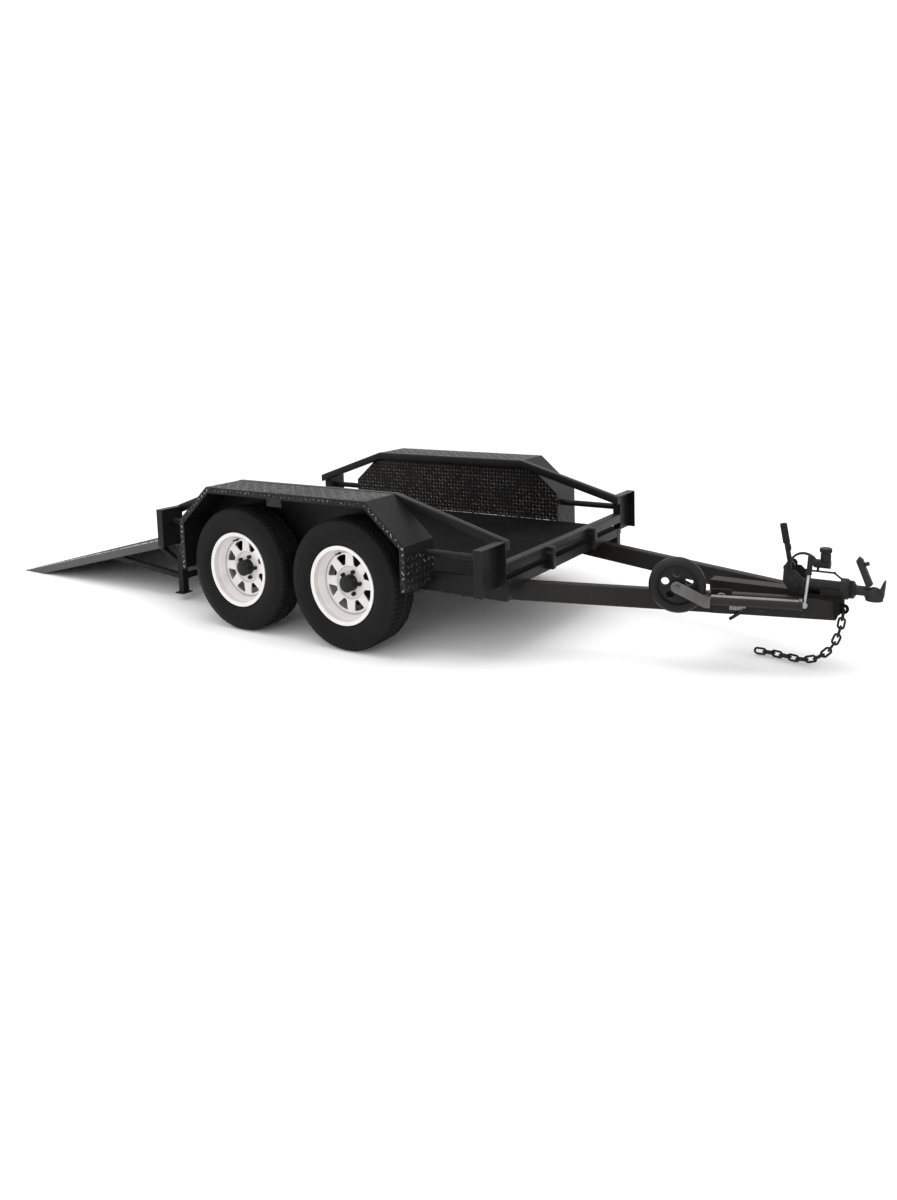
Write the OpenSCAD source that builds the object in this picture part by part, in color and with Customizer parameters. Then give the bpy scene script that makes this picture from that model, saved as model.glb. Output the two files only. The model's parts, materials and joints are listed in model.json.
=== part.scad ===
// Scissor lift trailer: tandem wheels, A-frame drawbar, override coupling, ramp down.
// Units are millimetres. +X is forward, +Y is the trailer's left, +Z is up, the ground is z = 0.

/* [Deck] */
// Length from the rear beam to the front beam
deck_len = 2200; // [1900:10:2500]
// Clear width between the side panels
deck_w = 1280; // [1100:10:1500]
// Height of the floor above the ground
deck_z = 400; // [380:5:430]
// Thickness of the floor plate
floor_t = 3; // [3:1:5]
// From the rear beam to the middle of the axle group
rear_reach = 1045; // [980:5:1120]
// Depth of the chassis rails and beams
rail_h = 100; // [80:5:110]
// Width of the chassis rails and beams
rail_w = 50; // [40:5:60]
// Depth of the front beam, which rests on the drawbar
front_beam_h = 45; // [40:1:60]
// Wall of the chassis sections
wall = 4; // [3:1:6]
// Number of cross-members between the end beams
cross_n = 4; // [2:1:4]
// Depth of the cross-members
cross_h = 60; // [40:5:75]

/* [Wheels] */
// Outer diameter of a tyre
tyre_d = 650; // [600:5:680]
// Width of a tyre
tyre_w = 188; // [175:1:200]
// Diameter over the rim flanges
rim_d = 392; // [385:1:400]
// Width over the rim flanges
rim_w = 164; // [150:1:168]
// Distance between the two axles
axle_gap = 704; // [690:2:760]
// Gap between a tyre and the side panel
tyre_gap = 28; // [26:1:45]
// Number of windows in a rim
window_n = 8; // [6:1:10]
// Radius of a rim's middle hole
bore_r = 41; // [34:0.5:44]
// Radius of the wheel studs' circle
stud_r = 57.15; // [54:0.05:60]
// Number of wheel studs
stud_n = 5; // [4:1:6]
// Radius of the wheel spindle
spindle_r = 20; // [16:1:24]

/* [Mudguards] */
// Length of the flat top
guard_flat = 1068; // [980:4:1120]
// Overall length
guard_len = 1510; // [1450:2:1560]
// Height of the flat top
guard_top = 753; // [730:1:780]
// Height of the bend above the upright ends
guard_bend = 560; // [520:5:600]
// Lower edge of the front end
guard_front_z = 345; // [320:5:380]
// Lower edge of the rear end
guard_rear_z = 290; // [260:5:340]
// Cover of the guard beyond the tyre
guard_cover = 8; // [4:1:20]
// Depth of the turned-down outer lip
lip_h = 32; // [20:1:45]
// Thickness of the plate
plate_t = 3; // [2:1:5]

/* [Rails and posts] */
// Width of the top rail
top_rail_w = 40; // [30:1:50]
// Depth of the top rail
top_rail_h = 46; // [35:1:55]
// Height of the front posts' tops
front_post_z = 577; // [550:1:600]
// Height of the rear posts' tops
rear_post_z = 578; // [550:1:600]
// Lower end of the posts
post_foot_z = 364; // [350:1:380]
// Width of a front post
front_post_w = 208; // [180:2:220]
// Width of a rear post
rear_post_w = 144; // [130:2:210]
// Depth of a post along the trailer
post_d = 45; // [35:1:55]
// Size of the bars between posts and guards
bar_d = 34; // [25:1:40]
// Height of those bars
bar_z = 503; // [470:1:520]
// Top of the headboard rail
head_z = 475; // [455:1:500]
// Size of the headboard rail
head_d = 50; // [40:1:60]
// Spacing of the two headboard uprights
head_gap = 474; // [300:2:700]
// Size of an upright
upright_d = 36; // [30:1:45]
// Lower end of the uprights
upright_z = 362; // [354:1:380]

/* [Drawbar] */
// Reach of the drawbar's nose ahead of the axle group
nose_x = 2460; // [2300:5:2600]
// Spacing of the two beams at the headboard, middle to middle
drawbar_w = 890; // [800:10:960]
// Spacing of the two beams at the nose, middle to middle
nose_w = 82; // [76:2:110]
// Drop of the beams from headboard to nose
drawbar_drop = 22; // [5:1:40]
// Depth of a drawbar beam
beam_h = 92; // [80:1:100]
// Width of a drawbar beam
beam_w = 50; // [40:1:60]
// Reach of the middle tube behind the nose
spine_len = 563; // [520:1:600]

/* [Coupling] */
// Radius of the override body
override_r = 30; // [26:1:36]
// Length of the override body
override_len = 216; // [190:2:240]
// Radius of the draw shaft
shaft_r = 21.5; // [19:0.5:24]
// From the drawbar's nose to the middle of the ball socket
ball_reach = 145; // [130:1:170]
// Radius of the ball socket
socket_r = 25.25; // [24:0.05:26]
// Height of the hand brake lever's top
lever_top = 634; // [560:2:680]

/* [Jockey wheel] */
// Diameter of the jockey wheel
jockey_d = 250; // [200:5:260]
// Width of the jockey wheel
jockey_w = 70; // [50:1:80]
// Radius of the outer tube
jockey_r = 22; // [20:1:26]
// From the headboard to the swing pivot, along the beam
jockey_x = 883; // [840:1:920]
// From the swing pivot back to the wheel's middle
jockey_back = 190; // [180:1:196]
// Offset of the wheel's middle from the tube's axis
jockey_trail = 58; // [50:1:64]
// From the swing pivot forward to the crank
crank_reach = 338; // [300:2:360]
// Length of the crank's arm
crank_arm = 126; // [110:1:150]
// Length of the crank's grip
grip_len = 86; // [70:1:95]
// Lean of the crank's arm
crank_lean = 6; // [0:1:10]

/* [Chain] */
// Diameter of the chain's wire
wire_d = 10; // [8:1:11]
// Inner length of a link
link_in = 40; // [38:1:46]
// Inner width of a link
link_w = 16; // [15:1:20]

/* [Ramp] */
// Length of the ramp's top from hinge to tip
ramp_len = 1646; // [1500:2:1800]
// Half of the ramp's width
ramp_half = 600; // [540:5:610]
// Size of the ramp's side rails
ramp_rail = 50; // [40:1:56]
// Height of the hinge
hinge_z = 376; // [365:1:385]
// Hinge behind the rear beam
hinge_back = 32; // [30:1:40]
// Radius of the hinge pin
hinge_r = 12.5; // [10:0.5:14]
// Number of rungs under the ramp's plate
rung_n = 5; // [3:1:7]
// Size of a leg
leg_d = 40; // [30:1:45]
// Height of the legs' feet above the ground
foot_z = 40; // [20:1:60]
// Height of the crossbar between the legs
leg_bar_z = 138; // [110:1:160]

/* [Output] */
// Sub-part to draw

/* [Hidden] */
$fn = 48;
LEFT = 1;
RIGHT = -1;
FRONT = 1;
REAR = -1;
black = [0.05, 0.05, 0.055];
dark = [0.1, 0.095, 0.09];
white = [0.92, 0.92, 0.92];
zinc = [0.72, 0.73, 0.75];
rubber = [0.07, 0.07, 0.07];
run = 0.05;
gap = 0.2;
big = 4000;
deck_front = deck_len - rear_reach;
half_w = deck_w / 2;
rail_top = deck_z - floor_t;
guard_in = half_w + plate_t;
wheel_y = guard_in + tyre_gap + tyre_w / 2;
guard_out = wheel_y + tyre_w / 2 + guard_cover;
rim_half = rim_w / 2;
rim_r = rim_d / 2;
seat_r = rim_r - 15;
well_r = rim_r - 34;
tyre_r = tyre_d / 2;
beam_top = rail_top - front_beam_h;
beam_mid_z = beam_top - 0.6 - beam_h / 2;
beam_run = nose_x - deck_front;
beam_turn = atan((drawbar_w - nose_w) / 2 / beam_run);
beam_pitch = atan(drawbar_drop * cos(beam_turn) / beam_run);
nose_top = beam_mid_z - drawbar_drop + beam_h / 2 / cos(beam_pitch);
beam_slope = drawbar_drop / beam_run;
seat_z = nose_top + 4 + beam_slope * (override_len - 20);
draw_z = seat_z + override_r;
override_x = nose_x + 40 - override_len;
ball_x = nose_x + ball_reach;
head_tip = ball_x + 46;
lever_x = override_x - 30;
lever_z = draw_z + 80;
cylinder_z = draw_z + 114;
lug_z = 276;
lug_x = nose_x + 22;
surface = 15;
hinge_x = -rear_reach - hinge_back;
ramp_turn = asin(hinge_z / sqrt(ramp_len * ramp_len + surface * surface)) + atan(surface / ramp_len);
ramp_tip = hinge_x - (ramp_len * cos(ramp_turn) + surface * sin(ramp_turn));
origin_x = -(head_tip + ramp_tip) / 2;
rail_in = ramp_half - ramp_rail;
leg_x = hinge_x - 26;
jockey_side = beam_w / 2 + 58;
jockey_up = 32;

// Rows of the road wheels: name, end, side
w_name = 0;
w_end = 1;
w_side = 2;
WHEELS = [
  ["front_left", FRONT, LEFT],
  ["front_right", FRONT, RIGHT],
  ["rear_left", REAR, LEFT],
  ["rear_right", REAR, RIGHT]
];

// Rows of the guard's outline: along, up
GUARD = [
  [-guard_len / 2, guard_rear_z],
  [-guard_len / 2, guard_bend],
  [-guard_flat / 2, guard_top],
  [guard_flat / 2, guard_top],
  [guard_len / 2, guard_bend],
  [guard_len / 2, guard_front_z]
];

// Rows of the top rail's upper edge: along, up
TOP_RAIL = [
  [-rear_reach, rear_post_z],
  [-guard_flat / 2, guard_top + 2],
  [guard_flat / 2, guard_top + 2],
  [deck_front, front_post_z]
];

// Rows of the chain's links from the lug on: dip below level, turn to the side
c_dip = 0;
c_turn = 1;
CHAIN = [
  [82, 0], [80, 1], [76, 2], [68, 3], [58, 3], [46, 3], [32, 2],
  [18, -1], [5, -5], [0, -10], [0, -14], [0, -11], [0, -4], [0, 3]
];

function unit(v) = v / norm(v);
function left_of(v) = [-v[1], v[0]];
function way(p, i) = left_of(unit(p[i + 1] - p[i]));
function before(p, i) = way(p, max(i - 1, 0));
function after(p, i) = way(p, min(i, len(p) - 2));
function mid_way(p, i) = unit(before(p, i) + after(p, i));
function shifted(p, i, d) = p[i] + mid_way(p, i) * d / (mid_way(p, i) * before(p, i));
function side_of(p, d) = [for (i = [0 : len(p) - 1]) shifted(p, i, d)];
function backward(p) = [for (i = [len(p) - 1 : -1 : 0]) p[i]];
function band(p, a, b) = concat(side_of(p, a), backward(side_of(p, b)));
function turned(p) = [for (q = backward(p)) [q[0], -q[1]]];
function link_way(i) = [-cos(CHAIN[i][c_dip]) * cos(CHAIN[i][c_turn]),
  -cos(CHAIN[i][c_dip]) * sin(CHAIN[i][c_turn]), -sin(CHAIN[i][c_dip])];
function link_end(i) = i < 0 ? [lug_x, 0, lug_z - 7.5] : link_end(i - 1) + (link_in - 0.9) * link_way(i);
function both_ways(p) = concat(p, turned(p));

module placed() {
  translate([origin_x, 0, 0]) children();
}

module on_side(side) {
  if (side == LEFT) children();
  if (side == RIGHT) mirror([0, 1, 0]) children();
}

module both_sides() {
  on_side(LEFT) children();
  on_side(RIGHT) children();
}

module upright(y0, y1) {
  translate([0, y1, 0]) rotate([90, 0, 0]) linear_extrude(y1 - y0) children();
}

module box(a, b) {
  translate(a) cube(b - a);
}

module tube_x(a, b, t) {
  difference() {
    box(a, b);
    box([a[0] - 1, a[1] + t, a[2] + t], [b[0] + 1, b[1] - t, b[2] - t]);
  }
}

module tube_y(a, b, t) {
  difference() {
    box(a, b);
    box([a[0] + t, a[1] - 1, a[2] + t], [b[0] - t, b[1] + 1, b[2] - t]);
  }
}

module tube_z(a, b, t) {
  difference() {
    box(a, b);
    box([a[0] + t, a[1] + t, a[2] - 1], [b[0] - t, b[1] - t, b[2] + 1]);
  }
}

module pin_y(x, z, r, y0, y1) {
  translate([x, y1, z]) rotate([90, 0, 0]) cylinder(r = r, h = y1 - y0);
}

module pin_x(y, z, r, x0, x1) {
  translate([x0, y, z]) rotate([0, 90, 0]) cylinder(r = r, h = x1 - x0);
}

module deck_floor() {
  color(black) box([-rear_reach, -half_w, rail_top], [deck_front, half_w, deck_z]);
}

module side_rails() {
  color(black) both_sides()
    tube_x([-rear_reach, half_w - rail_w, rail_top - rail_h], [deck_front, half_w, rail_top], wall);
}

module end_beam(x, depth) {
  tube_y([x, rail_w - half_w, rail_top - depth], [x + rail_w, half_w - rail_w, rail_top], wall);
}

module end_beams() {
  color(black) {
    end_beam(-rear_reach, rail_h);
    end_beam(deck_front - rail_w, front_beam_h);
  }
}

module cross_members() {
  step = (deck_len - rail_w) / (cross_n + 1);
  color(black) for (i = [1 : cross_n]) {
    x = i * step - rear_reach;
    tube_y([x, rail_w - half_w, rail_top - cross_h], [x + rail_w, half_w - rail_w, rail_top], wall);
  }
}

module side_panel(side) {
  lap = rail_top - 18;
  outline = concat([[-guard_len / 2, lap]], [for (i = [1 : 4]) GUARD[i]], [[guard_len / 2, lap]]);
  color(black) on_side(side) upright(half_w, guard_in) polygon(outline);
}

module mudguard(side) {
  color(black) on_side(side) {
    upright(guard_in, guard_out) polygon(band(GUARD, 0, -plate_t));
    upright(guard_out - plate_t, guard_out) polygon(band(GUARD, 0, -lip_h));
  }
}

module top_rail(side) {
  hollow = concat([TOP_RAIL[0] - [2, 0.7]], [TOP_RAIL[1], TOP_RAIL[2]], [TOP_RAIL[3] + [2, -0.56]]);
  color(black) on_side(side) difference() {
    upright(half_w - top_rail_w, half_w) polygon(band(TOP_RAIL, 0, -top_rail_h));
    upright(half_w - top_rail_w + 3, half_w - 3) polygon(band(hollow, -3, 3 - top_rail_h));
    box([-big, 0, 0], [-rear_reach, big, big]);
    box([deck_front, 0, 0], [big, big, big]);
  }
}

module post(width, top) {
  difference() {
    box([-post_d, half_w, post_foot_z], [0, half_w + width, top]);
    box([wall - post_d, half_w + wall, post_foot_z - 1], [1, half_w + width - wall, top - wall]);
  }
}

module front_posts() {
  color(black) both_sides() translate([deck_front, 0, 0]) post(front_post_w, front_post_z);
}

module rear_posts() {
  color(black) both_sides() translate([-rear_reach, 0, 0]) mirror([1, 0, 0]) post(rear_post_w, rear_post_z);
}

module post_bars() {
  y = half_w + 64;
  color(black) both_sides() {
    pin_x(y, bar_z, bar_d / 2, guard_len / 2, deck_front - post_d);
    pin_x(y, bar_z, bar_d / 2, post_d - rear_reach, -guard_len / 2);
  }
}

module headboard() {
  near = (head_gap - upright_d) / 2;
  color(black) {
    tube_y([deck_front - head_d, -half_w, head_z - head_d], [deck_front, half_w, head_z], wall);
    both_sides() tube_z([deck_front, near, upright_z], [deck_front + upright_d, near + upright_d, head_z], wall);
  }
}

module beam_frame() {
  translate([deck_front, -drawbar_w / 2, beam_mid_z]) rotate([0, beam_pitch, beam_turn]) children();
}

module drawbar(side) {
  under = 320;
  color(dark) on_side(-side) difference() {
    beam_frame() tube_x([-under, -beam_w / 2, -beam_h / 2], [2 * beam_run, beam_w / 2, beam_h / 2], wall);
    box([-big, -big, beam_top], [deck_front + 1, big, big]);
    box([nose_x, -big, -big], [big, big, big]);
  }
}

module drawbar_spine() {
  back = nose_x - spine_len;
  front = override_x - 20;
  low = nose_top - beam_h + 16;
  color(dark) difference() {
    union() {
      tube_x([back, -38, low], [front, 38, nose_top + 18], 4);
      tube_y([back + 10, -250, low], [back + 50, -38, low + 40], 4);
      tube_y([back + 10, 38, low], [back + 50, 250, low + 40], 4);
    }
    both_sides() beam_frame() box([0, -3 * beam_w, -beam_h], [2 * beam_run, beam_w / 2 + gap, beam_h]);
  }
}

module nose_plate() {
  back = override_x - 20;
  low = nose_top - beam_h + 20;
  color(dark) difference() {
    union() {
      upright(-84, 84) polygon([
        [back, nose_top + gap + beam_slope * (nose_x - back)],
        [nose_x, nose_top + gap],
        [nose_x, low],
        [nose_x + 10, low],
        [nose_x + 10, seat_z],
        [back, seat_z]
      ]);
      box([nose_x + 9, -6, lug_z - 22], [lug_x, 6, lug_z + 22]);
      pin_y(lug_x, lug_z, 22, -6, 6);
    }
    pin_y(lug_x, lug_z, 10, -7, 7);
  }
}

module override_body() {
  end = override_x + override_len;
  pipe_z = draw_z + 65;
  color(dark) {
    pin_x(0, draw_z, override_r, override_x, end - 18);
    box([override_x, -40, seat_z], [override_x + 60, 40, draw_z]);
    box([nose_x - 70, -40, seat_z], [nose_x + 10, 40, draw_z]);
    pin_x(0, draw_z, 46, end - 28, end);
    translate([override_x + 36, 0, draw_z]) cylinder(r = 4.5, h = 65);
    translate([override_x + 36, 0, pipe_z]) sphere(r = 6.5);
    pin_x(0, pipe_z, 4.5, override_x + 36, end - 58);
    translate([end - 58, 0, pipe_z]) sphere(r = 6.5);
    translate([end - 58, 0, pipe_z]) rotate([0, 128, 0]) cylinder(r = 4.5, h = 54);
  }
}

module draw_shaft() {
  x0 = override_x + override_len;
  color(dark) {
    pin_x(0, draw_z, 40, x0, x0 + 9);
    pin_x(0, draw_z, 34, x0 + 9, x0 + 15);
    pin_x(0, draw_z, 38, x0 + 15, x0 + 24);
    pin_x(0, draw_z, shaft_r, x0 + 24, ball_x - 36);
  }
}

module coupling_head() {
  bottom = draw_z - 36;
  lip = [
    [ball_x + 10, bottom + 8],
    [head_tip - 8, bottom + 14],
    [head_tip - 3, draw_z + 20],
    [head_tip, draw_z + 52],
    [head_tip - 7, draw_z + 54],
    [ball_x + 24, draw_z + 18]
  ];
  color(dark) difference() {
    union() {
      translate([ball_x, 0, bottom]) cylinder(r = 36, h = 22);
      translate([ball_x, 0, bottom + 22]) sphere(r = 36);
      box([ball_x - 36, -23, draw_z - 23], [ball_x, 23, draw_z + 10]);
      upright(-16, 16) polygon(lip);
    }
    box([ball_x - 60, -60, bottom - 60], [ball_x + 60, 60, bottom]);
    translate([ball_x, 0, bottom - 1]) cylinder(r = socket_r, h = 26);
    translate([ball_x, 0, bottom + 25]) sphere(r = socket_r);
  }
}

module coupling_latch() {
  z = draw_z + 10 + gap;
  color(dark) {
    upright(-14, 14) polygon([
      [ball_x - 34, z],
      [ball_x - 28, z],
      [ball_x - 6, draw_z + 32],
      [ball_x - 38, z + 100],
      [ball_x - 48, z + 128],
      [ball_x - 64, z + 138],
      [ball_x - 74, z + 120],
      [ball_x - 34, draw_z + 28]
    ]);
    upright(-8, 8) polygon([
      [ball_x - 40, z + 98],
      [ball_x - 20, z + 106],
      [ball_x - 24, z + 120],
      [ball_x - 46, z + 112]
    ]);
  }
}

module brake_bracket() {
  arc_x = override_x + 41;
  arc_z = lever_z + 14;
  color(dark) {
    for (y = [-58, 50]) upright(y, y + 8) polygon([
      [override_x - 18, seat_z],
      [override_x + 46, seat_z],
      [override_x + 46, draw_z + 30],
      [override_x + 4, lever_z - 8],
      [lever_x - 16, lever_z - 8],
      [lever_x - 20, draw_z + 20]
    ]);
    pin_y(lever_x, lever_z, 7, -58, 58);
    for (y = [-58, 50]) pin_y(lever_x, lever_z, 18, y, y + 8);
    difference() {
      pin_y(arc_x, arc_z, 64, -58, -50);
      pin_y(arc_x, arc_z, 54, -59, -49);
      box([-big, -60, 0], [big, -48, arc_z - 18]);
    }
    pin_x(-54, cylinder_z, 19, override_x + 84, override_x + 152);
    pin_x(-54, cylinder_z, 13, override_x + 66, override_x + 84);
  }
}

module brake_lever() {
  lean = 10;
  long = (lever_top - lever_z) / cos(lean);
  color(dark) translate([lever_x, 0, lever_z]) rotate([0, -lean, 0]) difference() {
    union() {
      translate([0, 8, 0]) rotate([90, 0, 0]) cylinder(r = 20, h = 16);
      box([-10, -5, 10], [10, 5, long - 98]);
      translate([0, 0, long - 102]) cylinder(r = 11, h = 14);
      translate([0, 0, long - 88]) cylinder(r = 15, h = 88);
    }
    translate([0, 9, 0]) rotate([90, 0, 0]) cylinder(r = 7 + run, h = 18);
  }
}

module fluid_reservoir() {
  color(dark) translate([override_x + 132, -54, 0]) difference() {
    union() {
      translate([0, 0, cylinder_z + 8]) cylinder(r = 22, h = 40);
      translate([0, 0, cylinder_z + 48]) cylinder(r = 19, h = 5);
      translate([0, 0, cylinder_z + 53]) cylinder(r = 26, h = 18);
    }
    pin_x(0, cylinder_z, 19 + run, -60, 60);
  }
}

module link() {
  half = (link_in + wire_d) / 2 - (link_w + wire_d) / 2;
  bend = (link_w + wire_d) / 2;
  for (a = [0, 180]) rotate([0, 0, a]) {
    translate([half, 0, 0]) rotate([0, 0, -90]) rotate_extrude(angle = 180, $fn = 16)
      translate([bend, 0]) circle(d = wire_d, $fn = 13);
    translate([-half, bend, 0]) rotate([0, 90, 0]) cylinder(d = wire_d, h = 2 * half, $fn = 13);
  }
}

module safety_chain() {
  color(dark) for (i = [0 : len(CHAIN) - 1]) translate((link_end(i - 1) + link_end(i)) / 2)
    rotate([0, -CHAIN[i][c_dip], CHAIN[i][c_turn]]) rotate([i % 2 * 90, 0, 0]) link();
}

module axle(end) {
  x = end * axle_gap / 2;
  z = tyre_r;
  mid = rail_top - rail_h - 36;
  arm = 140;
  tilt = atan((z - mid) / arm);
  y0 = guard_in + 1;
  y1 = guard_in + tyre_gap - 6;
  color(dark) {
    tube_y([x + arm - 36, -y0, mid - 36], [x + arm + 36, y0, mid + 36], 6);
    both_sides() {
      pin_y(x + arm, mid, 36, y0, y1);
      pin_y(x, z, 32, y0, y1);
      translate([x + arm, 0, mid]) rotate([0, tilt, 0])
        box([-norm([arm, z - mid]), y0, -26], [0, y1, 26]);
      pin_y(x, z, spindle_r, y1, wheel_y - 24);
    }
  }
}

module lamps() {
  low = 420;
  high = low + 110;
  color(dark) both_sides() {
    box([-93, guard_out, guard_top - 68], [7, guard_out + 4, guard_top - 22]);
    box([-rear_reach + 14, half_w + 30, low], [-rear_reach + post_d - wall, half_w + rear_post_w - 20, high]);
  }
}

module hinge_lugs() {
  back = -rear_reach;
  color(black) both_sides() for (y = [rail_in - 32, ramp_half + 6]) difference() {
    union() {
      pin_y(hinge_x, hinge_z, 20, y, y + 12);
      box([hinge_x, y, hinge_z - 20], [back, y + 12, hinge_z + 20]);
    }
    pin_y(hinge_x, hinge_z, hinge_r + run, y - 1, y + 13);
  }
}

module jockey_frame() {
  beam_frame() translate([jockey_x, -jockey_side, jockey_up]) children();
}

module jockey_bracket() {
  near = jockey_side - beam_w / 2;
  inner = jockey_r + 6;
  color(zinc) jockey_frame() {
    box([-45, near - 5, -jockey_up - 44], [45, near, 36]);
    pin_y(0, 0, 12, inner, near - 5);
    box([33, near - 5, -58], [108, near, -30]);
    translate([104, near - 10, -48]) rotate([0, -36, 0]) box([-84, -6, -6], [0, 6, 6]);
  }
}

module jockey_tube() {
  reach = crank_reach;
  color(zinc) jockey_frame() {
    difference() {
      union() {
        pin_x(0, 0, jockey_r, -44, reach - 14);
        pin_y(0, 0, 26, 0, jockey_r + 6 - gap);
      }
      pin_x(0, 0, jockey_r - 5, -45, reach - 40);
    }
    pin_x(0, 0, jockey_r + 4, reach - 14, reach - 2);
    pin_x(0, 0, 14, reach - 2, reach + 14);
    translate([reach + 6, 0, 0]) rotate([0, crank_lean, 0]) {
      box([-5, -8, 0], [5, 8, crank_arm]);
      translate([0, 0, crank_arm]) cylinder(r = 6, h = 10);
      translate([0, 0, crank_arm + 10]) cylinder(r = 13, h = grip_len);
    }
  }
}

module jockey_leg() {
  half = jockey_w / 2;
  eye = [-jockey_back, jockey_trail];
  eye_r = 26;
  edge = left_of(unit(eye)) * (eye_r - 0.5);
  color(zinc) jockey_frame() {
    pin_x(0, 0, jockey_r - 5 - run, -50, 200);
    box([-58, -half - 12, -24], [-48, half + 12, 4]);
    for (y = [-half - 12, half + 6]) {
      upright(y, y + 6) polygon([[-48, -26], [-48, 18], eye - edge, eye + edge, [-72, -26]]);
      pin_y(eye[0], eye[1], eye_r, y, y + 6);
    }
    pin_y(-jockey_back, jockey_trail, 8, -half - 12, half + 12);
  }
}

module jockey_wheel() {
  r = jockey_d / 2;
  half = jockey_w / 2;
  color(rubber) jockey_frame() translate([-jockey_back, 0, jockey_trail]) rotate([90, 0, 0]) difference() {
    rotate_extrude() polygon(both_ways([
      [8 + run, half],
      [24, half],
      [26, 10],
      [r - 42, 10],
      [r - 38, half - 10],
      [r - 26, half - 2],
      [r - 10, half - 8],
      [r, half - 24]
    ]));
    for (i = [0 : 4]) rotate([0, 0, i * 72 + 20]) translate([55, 0, -20]) cylinder(r = 18, h = 40);
  }
}

module at_wheel(end, side) {
  on_side(side) translate([end * axle_gap / 2, wheel_y, tyre_r]) rotate([-90, 0, 0]) children();
}

module tyre(end, side) {
  w = tyre_w / 2;
  r = tyre_r;
  high = r - rim_r;
  color(rubber) at_wheel(end, side) rotate_extrude($fn = 72) polygon(concat(
    both_ways([
      [seat_r + 0.4, rim_half - 24],
      [seat_r + 0.4, rim_half - 7],
      [rim_r + 2, rim_half - 6.5],
      [rim_r + 0.12 * high, w * 0.9],
      [rim_r + 0.3 * high, w * 0.98],
      [rim_r + 0.46 * high, w],
      [rim_r + 0.66 * high, w * 0.975],
      [rim_r + 0.84 * high, w * 0.9],
      [rim_r + 0.94 * high, w * 0.82],
      [r - 2, w * 0.72],
      [r, w * 0.5]
    ]),
    backward(both_ways([
      [rim_r + 0.1 * high, w * 0.68],
      [rim_r + 0.3 * high, w * 0.85],
      [rim_r + 0.5 * high, w * 0.88],
      [rim_r + 0.76 * high, w * 0.78],
      [r - 14, w * 0.6]
    ]))
  ));
}

module window() {
  linear_extrude(60, center = true) polygon([
    [90, -6], [93, -11], [131, -31], [136, -30], [140, -24], [142, 0],
    [140, 24], [136, 30], [131, 31], [93, 11], [90, 6]
  ]);
}

module rim(end, side) {
  h = rim_half;
  color(white) at_wheel(end, side) {
    rotate_extrude($fn = 72) polygon(concat(
      both_ways([
        [rim_r, h],
        [rim_r, h - 6],
        [seat_r, h - 6],
        [seat_r, h - 34],
        [well_r, 18]
      ]),
      backward(both_ways([
        [rim_r - 4, h],
        [seat_r - 4, h - 3],
        [seat_r - 4, h - 32],
        [well_r - 4, 20]
      ]))
    ));
    difference() {
      rotate_extrude($fn = 72) polygon([
        [bore_r, 0], [80, 0], [87, 10], [147, 10], [well_r - 2, -2],
        [well_r - 2, 5], [149, 16], [85, 16], [77, 6], [bore_r, 6]
      ]);
      for (i = [1 : window_n]) rotate([0, 0, (i + 0.5) * 360 / window_n]) window();
      for (i = [1 : stud_n]) rotate([0, 0, i * 360 / stud_n])
        translate([stud_r, 0, -1]) cylinder(r = 7, h = 12);
    }
  }
}

module hub(end, side) {
  color(dark) at_wheel(end, side) difference() {
    union() {
      translate([0, 0, -62]) cylinder(r = 116, h = 48);
      translate([0, 0, -14]) cylinder(r = 76, h = 14);
      cylinder(r = bore_r - 0.5, h = 42);
      translate([0, 0, 42]) cylinder(r = bore_r - 4, h = 6);
      for (i = [1 : stud_n]) rotate([0, 0, i * 360 / stud_n]) translate([stud_r, 0, 0]) {
        cylinder(r = 6, h = 26, $fn = 16);
        translate([0, 0, 6]) cylinder(r = 10.5, h = 15, $fn = 6);
      }
    }
    translate([0, 0, -63]) cylinder(r = spindle_r + run, h = 43);
  }
}

module ramp_place() {
  translate([hinge_x, 0, hinge_z]) rotate([0, -ramp_turn, 0]) mirror([1, 0, 0]) children();
}

module above_ground() {
  intersection() {
    children();
    box([-big, -big, 0], [0, big, big]);
  }
}

module ramp_frame() {
  low = surface - ramp_rail;
  step = (ramp_len - 260) / rung_n;
  color(black) above_ground() difference() {
    ramp_place() {
      both_sides() tube_x([-14, rail_in, low], [ramp_len + 10, ramp_half, surface], 3);
      for (i = [0 : rung_n])
        tube_y([40 + i * step, -rail_in, low + 6], [80 + i * step, rail_in, surface - 4], 3);
    }
    pin_y(hinge_x, hinge_z, hinge_r + run, -ramp_half - 1, ramp_half + 1);
  }
}

module ramp_plate() {
  color(black) above_ground() ramp_place()
    box([32, -rail_in, surface - 4], [ramp_len + 10, rail_in, surface]);
}

module ramp_pin() {
  color(zinc) pin_y(hinge_x, hinge_z, hinge_r, -ramp_half - 20, ramp_half + 20);
}

module strut(x0, z0, x1, z1, d) {
  turn = atan2(z1 - z0, x0 - x1);
  translate([x0, 0, z0]) rotate([0, turn, 0])
    box([-norm([x1 - x0, z1 - z0]), ramp_half - 25 - d / 2, -d / 2], [0, ramp_half - 25 + d / 2, d / 2]);
}

module ramp_legs() {
  mid = ramp_half - ramp_rail / 2;
  color(black) difference() {
    union() {
      both_sides() {
        box([leg_x - leg_d / 2, mid - leg_d / 2, foot_z + 6], [leg_x + leg_d / 2, mid + leg_d / 2, hinge_z]);
        box([leg_x - 36, mid - 36, foot_z], [leg_x + 30, mid + 36, foot_z + 6]);
        strut(leg_x, leg_bar_z, leg_x - 700, hinge_z - 726 * tan(ramp_turn), 28);
        strut(leg_x, 205, leg_x - 220, hinge_z - 246 * tan(ramp_turn), 24);
      }
      box([leg_x - 15, -mid, leg_bar_z - 15], [leg_x + 15, mid, leg_bar_z + 15]);
    }
    ramp_place() box([-200, -big, surface - ramp_rail], [big, big, big]);
  }
}

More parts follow.
